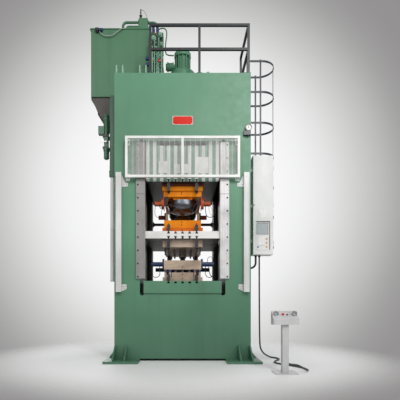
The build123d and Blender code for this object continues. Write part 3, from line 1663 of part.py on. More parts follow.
def bend_radii(points):
    """The largest arc that each corner's two runs allow."""
    radii = []
    for before, corner, after in zip(points, points[1:], points[2:]):
        run_in = Vector(*corner) - Vector(*before)
        run_out = Vector(*after) - Vector(*corner)
        half_turn = radians(run_in.get_angle(run_out)) / 2
        radii.append(0.45 * min(run_in.length, run_out.length) / tan(half_turn))
    return radii


cable_radii = bend_radii(cable_points)
print("cable bend radii", [round(radius) for radius in cable_radii])
with BuildPart() as console_cable:
    pipe_run(cable_points, cable_radii, cable_diameter / 2)
print("cable length", round(console_cable.part.volume / (pi * (cable_diameter / 2) ** 2)))
save(console_cable, "console_cable")
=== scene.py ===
"""A large hydraulic press on a pale studio floor. Metres, +Z up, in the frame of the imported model."""

import math

import bmesh
import bpy
from mathutils import Matrix, Vector


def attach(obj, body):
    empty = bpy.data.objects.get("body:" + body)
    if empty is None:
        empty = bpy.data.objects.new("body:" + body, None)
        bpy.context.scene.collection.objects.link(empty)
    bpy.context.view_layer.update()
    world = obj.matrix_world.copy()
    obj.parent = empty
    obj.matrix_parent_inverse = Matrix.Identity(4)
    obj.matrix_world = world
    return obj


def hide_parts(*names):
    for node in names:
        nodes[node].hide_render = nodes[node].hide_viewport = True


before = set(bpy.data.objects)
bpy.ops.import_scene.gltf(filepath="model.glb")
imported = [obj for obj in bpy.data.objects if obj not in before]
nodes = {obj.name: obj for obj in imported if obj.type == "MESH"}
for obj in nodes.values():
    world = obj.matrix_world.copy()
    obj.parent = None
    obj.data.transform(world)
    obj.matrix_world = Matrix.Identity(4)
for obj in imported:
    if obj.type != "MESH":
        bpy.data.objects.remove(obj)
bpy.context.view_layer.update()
scene = bpy.context.scene

# Directions, and the distance between the middles of neighbouring T-slots
FRONT = (0, -1, 0)
UP = (0, 0, 1)
RIGHT = (1, 0, 0)
SLOT_PITCH = 0.15


def add_object(name, data):
    """An object made from its data, in the scene."""
    made = bpy.data.objects.new(name, data)
    scene.collection.objects.link(made)
    return made


# Camera

lens = bpy.data.cameras.new("camera")
lens.lens = 36
lens.sensor_width = 36
lens.shift_x = 0.0435
lens.shift_y = 0.2625
lens.clip_end = 200
camera = add_object("camera", lens)
camera.location = (0, -9.55, 1.19)
camera.rotation_euler = (math.radians(90), 0, 0)
scene.camera = camera


# Console cable, hoses and wires


def spline_curve(name, points, radius):
    """A smooth round line whose control points are the given ones."""
    curve = bpy.data.curves.new(name, "CURVE")
    curve.dimensions = "3D"
    curve.bevel_depth = 1
    curve.bevel_resolution = 3
    curve.use_fill_caps = True
    spline = curve.splines.new("NURBS")
    spline.points.add(len(points) - 1)
    for point, place in zip(spline.points, points):
        point.co = (*place, 1)
        point.radius = radius
    spline.order_u = 3
    spline.use_endpoint_u = True
    spline.resolution_u = 8
    return add_object(name, curve)


# The console cable hangs from the cabinet, lies on the floor and rises to the back of the post
lying = 0.0175
cable_points = [
    (1.715, -0.6, 2.257),
    (1.715, -0.6, 0.43),
    (1.752, -0.59, 0.15),
    (1.95, -0.56, lying),
    (2.11, -0.69, lying),
    (2.09, -0.93, lying),
    (1.95, -1.13, lying),
    (1.87, -1.36, lying),
    (1.94, -1.58, lying),
    (2.11, -1.76, lying),
    (2.225, -1.98, lying),
    (2.2745, -2.21, lying),
    (2.245, -2.41, 0.0195),
    (2.13, -2.52, 0.075),
    (1.996, -2.55, 0.15),
    (1.889, -2.55, 0.15),
]
console_cable = spline_curve("console_cable_sheath", cable_points, 0.017)
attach(console_cable, "frame")
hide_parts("console_cable")

# Hoses and wires on the tools and the tank: name, body, radius, length, stiffness and route
hose_rows = [
    ("tank_level_hose", "frame", 0.011, 0.704, "medium", [
        (-1.965, -0.096, 7.665), (-1.94, -0.108, 7.6), (-1.88, -0.12, 7.557), (-1.78, -0.12, 7.533),
        (-1.66, -0.12, 7.543), (-1.57, -0.12, 7.61), (-1.49, -0.12, 7.672), (-1.43, -0.115, 7.72),
        (-1.385, -0.085, 7.732),
    ]),
    ("upper_hose_left", "slide", 0.0055, 0.576, "medium", [
        (-0.6, -0.75, 3.385), (-0.61, -0.772, 3.26), (-0.605, -0.775, 3.145), (-0.535, -0.775, 3.1),
        (-0.465, -0.775, 3.14), (-0.458, -0.765, 3.25), (-0.456, -0.745, 3.33),
    ]),
    ("upper_hose_long", "slide", 0.0075, 1.368, "medium", [
        (-0.5, -0.752, 3.385), (-0.5, -0.8, 3.3), (-0.455, -0.88, 3.295), (-0.37, -0.915, 3.34),
        (-0.27, -0.918, 3.36), (-0.16, -0.918, 3.3), (-0.05, -0.918, 3.235), (0.06, -0.918, 3.165),
        (0.14, -0.918, 3.12), (0.21, -0.918, 3.165), (0.25, -0.918, 3.35), (0.33, -0.916, 3.4),
        (0.385, -0.9, 3.46), (0.388, -0.85, 3.546),
    ]),
    ("sensor_wire", "frame", 0.004, 0.323, "limp", [
        (-0.868, 0.17, 8.1), (-0.868, 0.17, 8.17), (-0.89, 0.17, 8.25), (-0.93, 0.17, 8.33),
        (-0.975, 0.17, 8.362), (-1.005, 0.17, 8.352),
    ]),
    ("upper_hose_right", "slide", 0.0075, 0.788, "medium", [
        (0.5, -0.752, 3.385), (0.5, -0.785, 3.24), (0.53, -0.79, 3.12), (0.63, -0.785, 3.106),
        (0.708, -0.77, 3.16), (0.722, -0.75, 3.3), (0.712, -0.715, 3.42), (0.612, -0.7, 3.424),
    ]),
    ("upper_signal_wire", "slide", 0.0035, 0.819, "limp", [
        (0.415, -0.845, 3.612), (0.46, -0.86, 3.545), (0.56, -0.85, 3.4), (0.665, -0.83, 3.245),
        (0.69, -0.81, 3.165), (0.625, -0.79, 3.15), (0.575, -0.77, 3.25), (0.575, -0.75, 3.382),
    ]),
    ("lower_hose_left", "frame", 0.007, 0.622, "medium", [
        (-0.67, -0.742, 2.055), (-0.675, -0.765, 1.93), (-0.66, -0.77, 1.81), (-0.575, -0.77, 1.79),
        (-0.5, -0.77, 1.83), (-0.498, -0.76, 1.95), (-0.505, -0.742, 2.055),
    ]),
    ("lower_hose_right", "frame", 0.007, 0.616, "medium", [
        (0.67, -0.742, 2.055), (0.675, -0.765, 1.93), (0.65, -0.77, 1.81), (0.575, -0.77, 1.785),
        (0.5, -0.77, 1.84), (0.498, -0.76, 1.95), (0.505, -0.742, 2.055),
    ]),
    ("lower_hose_arch", "frame", 0.0055, 0.328, "stiff", [
        (0.55, -0.7, 2.125), (0.545, -0.7, 2.225), (0.612, -0.7, 2.265), (0.68, -0.7, 2.225),
        (0.675, -0.7, 2.125),
    ]),
    ("lower_hose_down", "frame", 0.008, 0.43, "medium", [
        (0.58, -0.7, 2.045), (0.585, -0.69, 1.92), (0.63, -0.66, 1.83), (0.7, -0.61, 1.8),
        (0.735, -0.58, 1.76), (0.74, -0.575, 1.702),
    ]),
]
hoses = {}
for name, body, radius, length, stiffness, route in hose_rows:
    hoses[name] = spline_curve(name, route, radius)
    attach(hoses[name], body)


# Materials


def colour(red, green, blue):
    """A colour as it looks on a screen, made linear."""
    shares = (red / 255, green / 255, blue / 255)
    return (*(v / 12.92 if v <= 0.04045 else ((v + 0.055) / 1.055) ** 2.4 for v in shares), 1)


def feed(tree, socket, value):
    """A socket linked to another, or set to a value."""
    if isinstance(value, bpy.types.NodeSocket):
        tree.links.new(value, socket)
    else:
        socket.default_value = value


def add_node(tree, kind, inputs=None, **settings):
    """A node in a tree, with its settings, and its inputs set or linked."""
    made = tree.nodes.new(kind)
    for key, value in settings.items():
        setattr(made, key, value)
    for key, value in (inputs or {}).items():
        feed(tree, made.inputs[key], value)
    return made


class Graph:
    """The nodes of one material, with the steps that its recipes share."""

    def __init__(self, name, **sockets):
        self.material = bpy.data.materials.new(name)
        self.material.use_nodes = True
        self.tree = self.material.node_tree
        self.shader = self.tree.nodes["Principled BSDF"]
        for key, value in sockets.items():
            self.shader.inputs[key.replace("_", " ")].default_value = value
        self.place = self.node("ShaderNodeTexCoord").outputs["Object"]
        self.axes = None

    def node(self, kind, inputs=None, **settings):
        """A node in this material."""
        return add_node(self.tree, kind, inputs, **settings)

    def link(self, socket_name, value):
        """A socket of the shader, linked or set."""
        feed(self.tree, self.shader.inputs[socket_name], value)

    def noise(self, scale, stretch=(1, 1, 1), detail=3, offset=(0, 0, 0)):
        """Noise from 0 to 1 over the object, stretched along its axes."""
        inputs = {0: self.place, 1: stretch, 2: offset}
        place = self.node("ShaderNodeVectorMath", inputs, operation="MULTIPLY_ADD").outputs[0]
        inputs = {"Vector": place, "Scale": scale, "Detail": detail}
        return self.node("ShaderNodeTexNoise", inputs).outputs[0]

    def spread(self, value, low, high, start=0.0, end=1.0):
        """A value from low to high made to run from start to end, and held outside."""
        numbers = {"Value": value, "From Min": low, "From Max": high, "To Min": start, "To Max": end}
        return self.node("ShaderNodeMapRange", numbers).outputs[0]

    def maths(self, operation, first, second=0.0):
        """One step of arithmetic."""
        return self.node("ShaderNodeMath", {0: first, 1: second}, operation=operation).outputs[0]

    def mix(self, share, first, second):
        """Two colours mixed."""
        return self.node("ShaderNodeMix", {0: share, 6: first, 7: second}, data_type="RGBA").outputs[2]

    def axis(self, index):
        """One coordinate of the point on the object, in metres."""
        if self.axes is None:
            self.axes = self.node("ShaderNodeSeparateXYZ", {0: self.place}).outputs
        return self.axes[index]

    def band(self, index, low, high, blur=0.001):
        """1 between two coordinates along one axis, 0 outside."""
        value = self.axis(index)
        above = self.spread(value, low - blur, low + blur)
        below = self.spread(value, high - blur, high + blur, 1, 0)
        return self.maths("MULTIPLY", above, below)

    def slot_mouths(self, height, way):
        """1 inside the mouths of the T-slots that open at a height, upwards (way 1) or downwards (-1)."""
        neck_depth, head_depth, slot_depth = 0.016, 0.04, 0.05
        neck_half, head_half, row_half = 0.0165, 0.033, 0.34
        across = self.maths("PINGPONG", self.axis(0), SLOT_PITCH / 2)
        depth = self.maths("MULTIPLY", self.maths("SUBTRACT", height, self.axis(2)), way)
        half_width = self.spread(depth, neck_depth, head_depth, neck_half, head_half)
        inside = self.spread(self.maths("SUBTRACT", half_width, across), -0.001, 0.001)
        below_top = self.spread(depth, -0.002, 0)
        above_bottom = self.spread(depth, slot_depth, slot_depth + 0.002, 1, 0)
        deep = self.maths("MULTIPLY", below_top, above_bottom)
        row = self.spread(self.maths("ABSOLUTE", self.axis(0)), row_half, row_half + 0.005, 1, 0)
        return self.maths("MULTIPLY", self.maths("MULTIPLY", inside, deep), row)

    def edges(self, radius):
        """1 along the object's sharp edges, 0 on its flat faces."""
        rounded = self.node("ShaderNodeBevel", {"Radius": radius}, samples=4).outputs[0]
        true = self.node("ShaderNodeNewGeometry").outputs["Normal"]
        product = self.node("ShaderNodeVectorMath", {0: rounded, 1: true}, operation="DOT_PRODUCT")
        return self.spread(product.outputs["Value"], 0.99, 0.86)

    def relief(self, height, depth, strength=0.6):
        """Small relief of the given depth."""
        bump = self.node("ShaderNodeBump", {"Height": height, "Distance": depth, "Strength": strength})
        self.link("Normal", bump.outputs[0])

    def finish(self, base, roughness):
        """The colour and the roughness linked to the shader."""
        self.link("Base Color", base)
        self.link("Roughness", roughness)
        return self.material


def zoned(graph, base, zones, mouths=()):
    """The base colour, with other colours inside zones and painted shade in the T-slot mouths.

    A zone is a colour and its ranges: an axis (0, 1 or 2) with a low and a high coordinate. A mouth is
    a height and a way, as slot_mouths takes them.
    """
    for tint, *ranges in zones:
        share = 1.0
        for index, low, high in ranges:
            share = graph.maths("MULTIPLY", share, graph.band(index, low, high))
        base = graph.mix(share, base, colour(*tint))
    # The T-slots' mouths get painted shade
    for height, way in mouths:
        base = graph.mix(graph.slot_mouths(height, way), base, colour(20, 21, 23))
    return base


def paint(
    name, base, shade, chip, roughness=0.42, cloud=0.55, streak=0.3, wear=0.6, peel=0.0008,
    zones=(), mouths=(), foot=0.0, **sockets,
):
    """Sprayed paint on steel: soft patches, runs of grime, orange peel and rubbed edges.

    shade tints the patches, chip shows on the edges, cloud is the patches' scale, streak and wear say
    how strong the runs and the rubbed edges are, and foot says how dark the painted shade near the floor
    is.
    """
    graph = Graph(name, **sockets)
    body = zoned(graph, colour(*base), zones, mouths)
    if foot:
        # Painted shade: the paint darkens towards the floor
        low_shade = graph.spread(graph.axis(2), 0.1, 2.7, foot, 0)
        body = graph.mix(low_shade, body, (0.03, 0.045, 0.04, 1))
    patches = graph.spread(graph.noise(cloud, (1, 1, 0.7), 4), 0.36, 0.66, 0, 0.9)
    inputs = {0: patches, 6: body, 7: colour(*shade)}
    tinted = graph.node("ShaderNodeMix", inputs, data_type="RGBA", blend_type="MULTIPLY").outputs[2]
    runs = graph.spread(graph.noise(5, (1, 1, 0.06), 5), 0.5, 0.8, 0, streak)
    dark = graph.mix(0.55, tinted, (0.02, 0.022, 0.02, 1))
    grimed = graph.mix(runs, tinted, dark)
    specks = graph.spread(graph.noise(46, detail=2, offset=(3, 1, 7)), 0.7, 0.76, 0, 0.35)
    spotted = graph.mix(specks, grimed, dark)
    uneven = graph.spread(graph.noise(19, detail=4), 0.4, 0.62, 0, wear)
    rubbed = graph.maths("MULTIPLY", graph.edges(0.006), uneven)
    smears = graph.noise(8, detail=4, offset=(9, 4, 2))
    gloss = graph.spread(smears, 0.3, 0.7, roughness - 0.02, roughness + 0.05)
    graph.relief(graph.noise(260, detail=1), peel, 0.35)
    return graph.finish(graph.mix(rubbed, spotted, colour(*chip)), gloss)


def steel(
    name, base, stain, roughness=0.36, grain=(1, 1, 1), amount=0.5,
    zones=(), mouths=(), bright=(205, 203, 200), **sockets,
):
    """Bare steel: fine lines along the way it was cut, stains, and brighter rubbed edges.

    grain stretches the lines, and amount says how strong the stains are.
    """
    graph = Graph(name, **sockets)
    lines = graph.noise(60, grain, 5)
    body = zoned(graph, colour(*base), zones, mouths)
    stains = graph.spread(graph.noise(3.1, detail=6, offset=(5, 2, 1)), 0.42, 0.7, 0, amount)
    stained = graph.mix(stains, body, colour(*stain))
    lined = graph.mix(graph.spread(lines, 0.35, 0.7, 0, 0.35), stained, colour(*stain))
    uneven = graph.spread(graph.noise(30), 0.35, 0.6, 0.1, 0.8)
    worn = graph.maths("MULTIPLY", graph.edges(0.004), uneven)
    gloss = graph.spread(lines, 0.3, 0.7, roughness - 0.08, roughness + 0.12)
    graph.relief(lines, 0.0006, 0.3)
    return graph.finish(graph.mix(worn, lined, colour(*bright)), gloss)


def moulded(name, base, roughness=0.4, grain=320, depth=0.0003, zones=(), **sockets):
    """Moulded plastic or rubber: a fine grain of the given scale and depth, faint dust, varied gloss."""
    graph = Graph(name, **sockets)
    body = zoned(graph, colour(*base), zones)
    dust = graph.spread(graph.noise(14, detail=5), 0.5, 0.8, 0, 0.16)
    dusted = graph.mix(dust, body, colour(176, 172, 165))
    gloss = graph.spread(graph.noise(40, detail=3), 0.3, 0.7, roughness - 0.06, roughness + 0.08)
    graph.relief(graph.noise(grain, detail=2), depth, 0.4)
    return graph.finish(dusted, gloss)


# The machine's green, what tints its patches, its chipped edges, and the dark inside of the frame
green = (92, 145, 113)
green_shade = (212, 226, 222)
green_chip = (62, 84, 72)
shadow = (38, 41, 43)
frame_green = paint("frame_green", green, green_shade, green_chip, foot=0.4)
bolster_green = paint("bolster_green", green, green_shade, green_chip, mouths=[(1.7, 1)], foot=0.4)
column_green = paint(
    "column_green", green, green_shade, green_chip,
    foot=0.4,
    zones=[(shadow, (0, -0.912, 0.912), (1, -1.2, 1.2))],
)
back_green = paint(
    "back_green", green, green_shade, green_chip,
    foot=0.4,
    zones=[(shadow, (0, -0.93, 0.93), (2, 1.7, 4.66)), ((52, 54, 58), (1, 1.08, 1.12))],
)
tank_green = paint(
    "tank_green", (78, 124, 92), green_shade, green_chip,
    zones=[((48, 44, 44), (2, 8.143, 8.4))],
)
# The brackets under the tank are painted in the dark brown of their shade
under_tank_shade = paint("under_tank_shade", (74, 68, 62), green_shade, green_chip)
block_green = paint("block_green", (40, 76, 56), green_shade, green_chip, roughness=0.34, cloud=3)
pipe_green = paint("pipe_green", (70, 120, 90), green_shade, green_chip, roughness=0.3, cloud=3)
# The lifting lugs are painted paler than the frame's green: a painted highlight
lug_highlight_green = paint("lug_highlight_green", (150, 190, 166), green_shade, green_chip)
pale_pipe = paint("pale_pipe", (134, 178, 152), green_shade, green_chip, roughness=0.26, cloud=4)
slide_green = paint(
    "slide_green", (100, 145, 120), green_shade, (120, 120, 116),
    roughness=0.4,
    # Everything of the slide behind its front face gets painted shade
    zones=[((40, 42, 44), (1, -1.036, 1.036))],
)
white_paint = paint(
    "white_paint", (232, 232, 230), (226, 226, 224), (150, 148, 142),
    roughness=0.4, cloud=2, streak=0.16, wear=0.4,
    mouths=[(3.817, -1)],
)
plate_white = paint(
    "plate_white", (236, 236, 233), (228, 228, 226), (170, 168, 162),
    roughness=0.34, cloud=6, streak=0.08, wear=0.3,
)
plate_red = paint(
    "plate_red", (222, 44, 26), (228, 206, 200), (236, 226, 214),
    roughness=0.4, cloud=5, streak=0.12, wear=0.3, Specular_IOR_Level=0.2,
)
bezel_grey = paint(
    "bezel_grey", (176, 180, 180), (226, 226, 224), (120, 120, 118),
    roughness=0.4, cloud=5, streak=0.1, wear=0.3,
)
guard_white = paint(
    "guard_white", (240, 240, 238), (230, 230, 228), (160, 158, 154),
    roughness=0.36, cloud=3, streak=0.1, wear=0.3,
)
pale_grey = paint(
    "pale_grey", (230, 231, 229), (224, 223, 222), (140, 138, 134),
    roughness=0.38, cloud=1.4, streak=0.2, wear=0.5,
)
pedestal_grey = paint(
    "pedestal_grey", (202, 201, 202), (224, 223, 222), (130, 128, 126),
    roughness=0.4, cloud=1.4, streak=0.2, wear=0.5,
)
duct_grey = paint(
    "duct_grey", (212, 212, 210), (224, 223, 222), (140, 138, 134),
    roughness=0.38, cloud=1.4, streak=0.2, wear=0.5,
    zones=[((44, 84, 62), (2, 3.935, 6))],
)
cabinet_paint = paint(
    "cabinet_paint", (238, 238, 237), (234, 233, 231), (150, 148, 142),
    roughness=0.5, cloud=1.8, streak=0.1, wear=0.3, peel=0.0016,
)
# A dark blue strip painted as the shade on the cabinet's left side
cabinet_side_shade = paint("cabinet_side_shade", (46, 52, 72), (210, 212, 220), (150, 148, 142), roughness=0.45)
dark_paint = paint(
    "dark_paint", (38, 41, 45), (210, 212, 216), (92, 90, 88),
    roughness=0.36, cloud=2.5, streak=0.2, wear=0.7,
)
ladder_paint = paint(
    "ladder_paint", (58, 64, 70), (206, 210, 214), (104, 104, 102),
    roughness=0.38, cloud=2.5, streak=0.2,
)
die_orange = paint(
    "die_orange", (240, 146, 10), (232, 206, 176), (128, 66, 28),
    roughness=0.4, cloud=3, wear=1.0, Specular_IOR_Level=0.15,
    zones=[
        ((104, 52, 34), (2, 3.751, 3.9)),
        ((222, 118, 26), (2, 2.74, 2.863)),
        ((150, 138, 118), (2, 3.03, 3.2)),
    ],
)
rust_orange = paint(
    "rust_orange", (196, 88, 36), (206, 170, 150), (92, 44, 26),
    cloud=6, streak=0.4, wear=0.9,
)
blue_paint = paint(
    "blue_paint", (32, 54, 98), (200, 206, 220), (96, 98, 104),
    roughness=0.34, cloud=5, wear=0.7,
)
rail_steel = steel(
    "rail_steel", (150, 147, 145), (118, 114, 111),
    roughness=0.42, grain=(1, 1, 0.02), amount=0.4, bright=(226, 224, 220), Metallic=0.25,
    zones=[
        # The right-hand rails are painted lighter: a painted reflection of the light from the right
        ((222, 221, 220), (0, 0, 2)),
        # The rear rails are painted near black: painted shade
        ((24, 25, 26), (1, 0.5, 2)),
        ((40, 40, 40), (2, 3.534, 3.542)),
        ((40, 40, 40), (2, 3.863, 3.871)),
    ],
)
platen_steel = steel(
    "platen_steel", (234, 233, 230), (186, 180, 170),
    roughness=0.44, grain=(0.04, 1, 1), amount=0.35, bright=(232, 228, 220), Metallic=0.1,
    # The platen's underside gets painted shade
    zones=[((30, 30, 32), (1, -1.036, 1.036), (2, 2.5, 2.608))],
    mouths=[(2.762, 1), (2.607, -1)],
)
tool_steel = steel(
    "tool_steel", (190, 170, 150), (122, 100, 82),
    roughness=0.46, grain=(0.05, 1, 1), amount=0.75, Metallic=0.2,
    zones=[((36, 58, 104), (2, 1.8985, 1.9605)), ((96, 98, 102), (2, 2.2, 2.442))],
)
dark_steel = steel(
    "dark_steel", (66, 66, 68), (36, 34, 33),
    roughness=0.38, grain=(1, 1, 0.3), amount=0.6, bright=(150, 148, 146), Metallic=0.7,
)
dish_steel = steel(
    "dish_steel", (132, 136, 144), (52, 54, 58),
    roughness=0.22, grain=(1, 1, 0.05), bright=(214, 216, 220), Metallic=0.95,
)
rod_chrome = steel(
    "rod_chrome", (206, 208, 212), (170, 172, 176),
    roughness=0.14, grain=(1, 1, 0.05), amount=0.15, Metallic=1.0,
)
screw_steel = steel(
    "screw_steel", (44, 44, 46), (24, 24, 25),
    roughness=0.4, amount=0.4, bright=(130, 130, 130), Metallic=0.8,
)
bright_steel = steel(
    "bright_steel", (196, 194, 188), (140, 136, 130),
    roughness=0.28, amount=0.3, Metallic=0.8,
)
brass = steel(
    "brass", (196, 160, 92), (120, 92, 50),
    roughness=0.3, amount=0.4, bright=(230, 200, 140), Metallic=0.9,
)
cable_rubber = moulded("cable_rubber", (44, 48, 52), roughness=0.5, grain=240, depth=0.0008)
hose_rubber = moulded("hose_rubber", (24, 26, 30), grain=200, depth=0.0006)
pale_hose = moulded("pale_hose", (150, 158, 150), grain=240, depth=0.0006)
wire_orange = moulded("wire_orange", (176, 84, 40), grain=240)
black_plastic = moulded("black_plastic", (26, 27, 29), roughness=0.42)
white_plastic = moulded("white_plastic", (236, 236, 230), roughness=0.3)
orange_plastic = moulded("orange_plastic", (236, 136, 16), Specular_IOR_Level=0.2)
lock_paint = paint(
    "lock_paint", (206, 206, 202), (226, 226, 224), (140, 138, 134),
    roughness=0.5, cloud=4, streak=0.1, wear=0.4,
)
blue_plastic = moulded("blue_plastic", (36, 78, 168), roughness=0.3)
red_plastic = moulded("red_plastic", (206, 34, 30), roughness=0.28)
grey_plastic = moulded("grey_plastic", (168, 172, 172), roughness=0.42)
screen_glass = moulded(
    "screen_glass", (166, 176, 176),
    roughness=0.42, grain=20, depth=0.0001, Specular_IOR_Level=0.3,
)

# The CAD nodes that each material covers
finishes = {
    frame_green: "front_plate crown_box bed_box foot_plates main_cylinder",
    lug_highlight_green: "lifting_lugs",
    block_green: "valve_manifold",
    bolster_green: "bolster",
    back_green: "back_plate",
    tank_green: "oil_tank tank_lid",
    under_tank_shade: "column_brackets",
    column_green: "left_column right_column",
    pipe_green: "oil_pipes pump_motor oil_filter",
    slide_green: "slide",
    white_paint: "slide_slats",
    guard_white: "mesh_guard",
    pale_grey: "light_curtains",
    duct_grey: "side_duct",
    pedestal_grey: "pedestal_post pedestal_head",
    cabinet_paint: "cabinet_body cabinet_door",
    dark_paint: "guard_rail pressure_gauge",
    ladder_paint: "ladder ladder_cage",
    die_orange: "upper_die lower_die",
    rust_orange: "side_cylinders",
    blue_paint: "tool_ejectors valve_solenoids",
    rail_steel: "guide_rails",
    platen_steel: "floating_platen",
    tool_steel: "lower_tool lower_tool_head",
    dark_steel: "slide_clamps platen_clamps bolster_clamps",
    dish_steel: "dish_punch",
    rod_chrome: "piston_rod",
    lock_paint: "door_lock",
    screw_steel: "rail_screws",
    black_plastic: "cable_glands filler_cap mode_button gauge_needle",
    orange_plastic: "cycle_button raise_button lower_button",
    blue_plastic: "reset_button",
    grey_plastic: "hand_button_left hand_button_right",
    red_plastic: "stop_button",
    bright_steel: "valve_handle",
    screen_glass: "panel_screen",
}
for material, names in finishes.items():
    for name in names.split():
        for slot in nodes[name].material_slots:
            slot.material = material
console_cable.data.materials.append(cable_rubber)
special_hoses = {"tank_level_hose": pale_hose, "upper_signal_wire": wire_orange}
for name, hose in hoses.items():
    hose.data.materials.append(special_hoses.get(name, hose_rubber))


# Pieces


class Piece:
    """A mesh made of blocks and turned forms, which rides on a body."""

    def __init__(self, name, material, body="frame"):
        self.name = name
        self.material = material
        self.body = body
        self.mesh = bmesh.new()

    def block(self, low, high, bevel=0.0015):
        """A box with softened edges."""
        size = [b - a for a, b in zip(low, high)]
        middle = Vector((a + b) / 2 for a, b in zip(low, high))
        place = Matrix.Translation(middle) @ Matrix.Diagonal((*size, 1))
        made = bmesh.ops.create_cube(self.mesh, size=1, matrix=place)
        edges = {edge for vert in made["verts"] for edge in vert.link_edges}
        offset = min(bevel, min(size) * 0.3)
        bmesh.ops.bevel(self.mesh, geom=list(edges), offset=offset, segments=2, affect="EDGES")

    def strips(self, front, back, rows, bevel=0.0015):
        """Flat boxes between two depths: left, bottom, right and top of each."""
        for left, bottom, right, top in rows:
            self.block((left, front, bottom), (right, back, top), bevel)

    def turned(self, base, axis, profile, sides=32):
        """A turned form: pairs of radius and height along an axis from its base."""
        turn = Vector(axis).to_track_quat("Z", "Y").to_matrix()
        rings = []
        for radius, height in profile:
            ring = []
            for step in range(sides):
                angle = 2 * math.pi * step / sides
                point = Vector((radius * math.cos(angle), radius * math.sin(angle), height))
                ring.append(self.mesh.verts.new(Vector(base) + turn @ point))
            rings.append(ring)
        for lower, upper in zip(rings, rings[1:]):
            for step in range(sides):
                after = (step + 1) % sides
                self.mesh.faces.new((lower[step], lower[after], upper[after], upper[step]))
        self.mesh.faces.new(list(reversed(rings[0])))
        self.mesh.faces.new(rings[-1])

    def bar(self, start, end, radius, sides=24):
        """A round bar between two points, with chamfered ends."""
        run = Vector(end) - Vector(start)
        lip = min(radius * 0.25, run.length * 0.2)
        profile = [(radius - lip, 0), (radius, lip), (radius, run.length - lip), (radius - lip, run.length)]
        self.turned(start, run, profile, sides)

    def screw(self, place, axis, radius):
        """A socket screw head with a sunk middle."""
        tall = radius * 0.7
        head = [(radius, 0), (radius, tall * 0.8), (radius * 0.85, tall)]
        profile = head + [(radius * 0.5, tall), (radius * 0.45, tall * 0.4)]
        self.turned(place, axis, profile, 16)

    def done(self):
        """The mesh made into an object."""
        bmesh.ops.recalc_face_normals(self.mesh, faces=self.mesh.faces)
        mesh = bpy.data.meshes.new(self.name)
        self.mesh.to_mesh(mesh)
        self.mesh.free()
        mesh.shade_smooth()
        mesh.set_sharp_from_angle(angle=math.radians(35))
        mesh.materials.append(self.material)
        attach(add_object(self.name, mesh), self.body)


def tubes(name, material, body, runs):
    """Rigid tubes: a radius and a route each, in one mesh."""
    made = bmesh.new()
    for index, (radius, route) in enumerate(runs):
        line = spline_curve(f"{name}_line_{index}", route, radius)
        state = bpy.context.evaluated_depsgraph_get()
        part = bpy.data.meshes.new_from_object(line.evaluated_get(state))
        made.from_mesh(part)
        bpy.data.meshes.remove(part)
        bpy.data.objects.remove(line)
    mesh = bpy.data.meshes.new(name)
    made.to_mesh(mesh)
    made.free()
    mesh.shade_smooth()
    mesh.materials.append(material)
    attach(add_object(name, mesh), body)


# Name plate on the crown and label plates on the slats, all left bare
front_y = -1.05
plate = Piece("crown_plate", plate_red)
plate.strips(front_y - 0.005, front_y, [(-0.208, 5.026, 0.212, 5.199)], 0.002)
plate.done()
border = Piece("crown_plate_border", plate_white)
border.strips(front_y - 0.007, front_y, [
    (-0.215, 5.019, 0.219, 5.027),
    (-0.215, 5.198, 0.219, 5.206),
    (-0.215, 5.019, -0.207, 5.206),
    (0.211, 5.019, 0.219, 5.206),
])
for rivet_x in (-0.19, 0.194):
    for rivet_z in (5.044, 5.181):
        border.screw((rivet_x, front_y - 0.004, rivet_z), FRONT, 0.008)
border.done()

labels = Piece("slat_labels", plate_white, "slide")
labels.strips(-1.0498, -1.0478, [
    (-0.51, 3.9935, -0.312, 4.2464),
    (-0.187, 3.9935, -0.049, 4.189),
    (0.021, 3.9935, 0.159, 4.189),
    (0.274, 3.9935, 0.5505, 4.338),
], 0.0005)
labels.done()

# Gauge dial and its scale of 25 marks
dial_x, dial_z = 1.395, 4.946
dial = Piece("gauge_dial", white_plastic)
dial.turned((dial_x, -1.0915, dial_z), FRONT, [(0.062, 0), (0.062, 0.0015), (0.061, 0.002)], 48)
dial.done()
scale = Piece("gauge_scale", black_plastic)
centre = Vector((dial_x, -1.0935, dial_z))
for mark in range(25):
    angle = math.radians(-135 + mark * 270 / 24)
    way = Vector((math.sin(angle), 0, math.cos(angle)))
    inner, thickness = (0.042, 0.0011) if mark % 4 == 0 else (0.047, 0.0007)
    scale.bar(centre + way * inner, centre + way * 0.053, thickness, 8)
scale.done()

# Valve block: cartridge caps, fittings and the tubes that stand in front of it
block_front = -0.498
caps = Piece("manifold_caps", pale_pipe)
for cap_x, cap_z, cap_r, reach in (
    (-0.655, 7.22, 0.048, 0.05),
    (-0.505, 7.29, 0.04, 0.065),
    (-0.6, 6.98, 0.055, 0.04),
    (-0.475, 7.05, 0.036, 0.07),
    (-0.66, 6.72, 0.045, 0.06),
    (-0.5, 6.8, 0.05, 0.05),
    (-0.56, 6.5, 0.045, 0.06),
):
    flange = [(cap_r * 1.15, 0), (cap_r * 1.15, 0.012)]
    profile = flange + [(cap_r, 0.014), (cap_r, reach - 0.006), (cap_r * 0.86, reach)]
    caps.turned((cap_x, block_front, cap_z), FRONT, profile, 24)
    caps.turned((cap_x, block_front - reach, cap_z), FRONT, [(cap_r * 0.5, 0), (cap_r * 0.5, 0.016)], 6)
caps.done()
plugs = Piece("manifold_plugs", bright_steel)
for plug_x in (-0.7, -0.6, -0.5, -0.455):
    for plug_z in (6.6, 6.87, 7.13, 7.35):
        plugs.screw((plug_x, block_front, plug_z), FRONT, 0.014)
plugs.done()
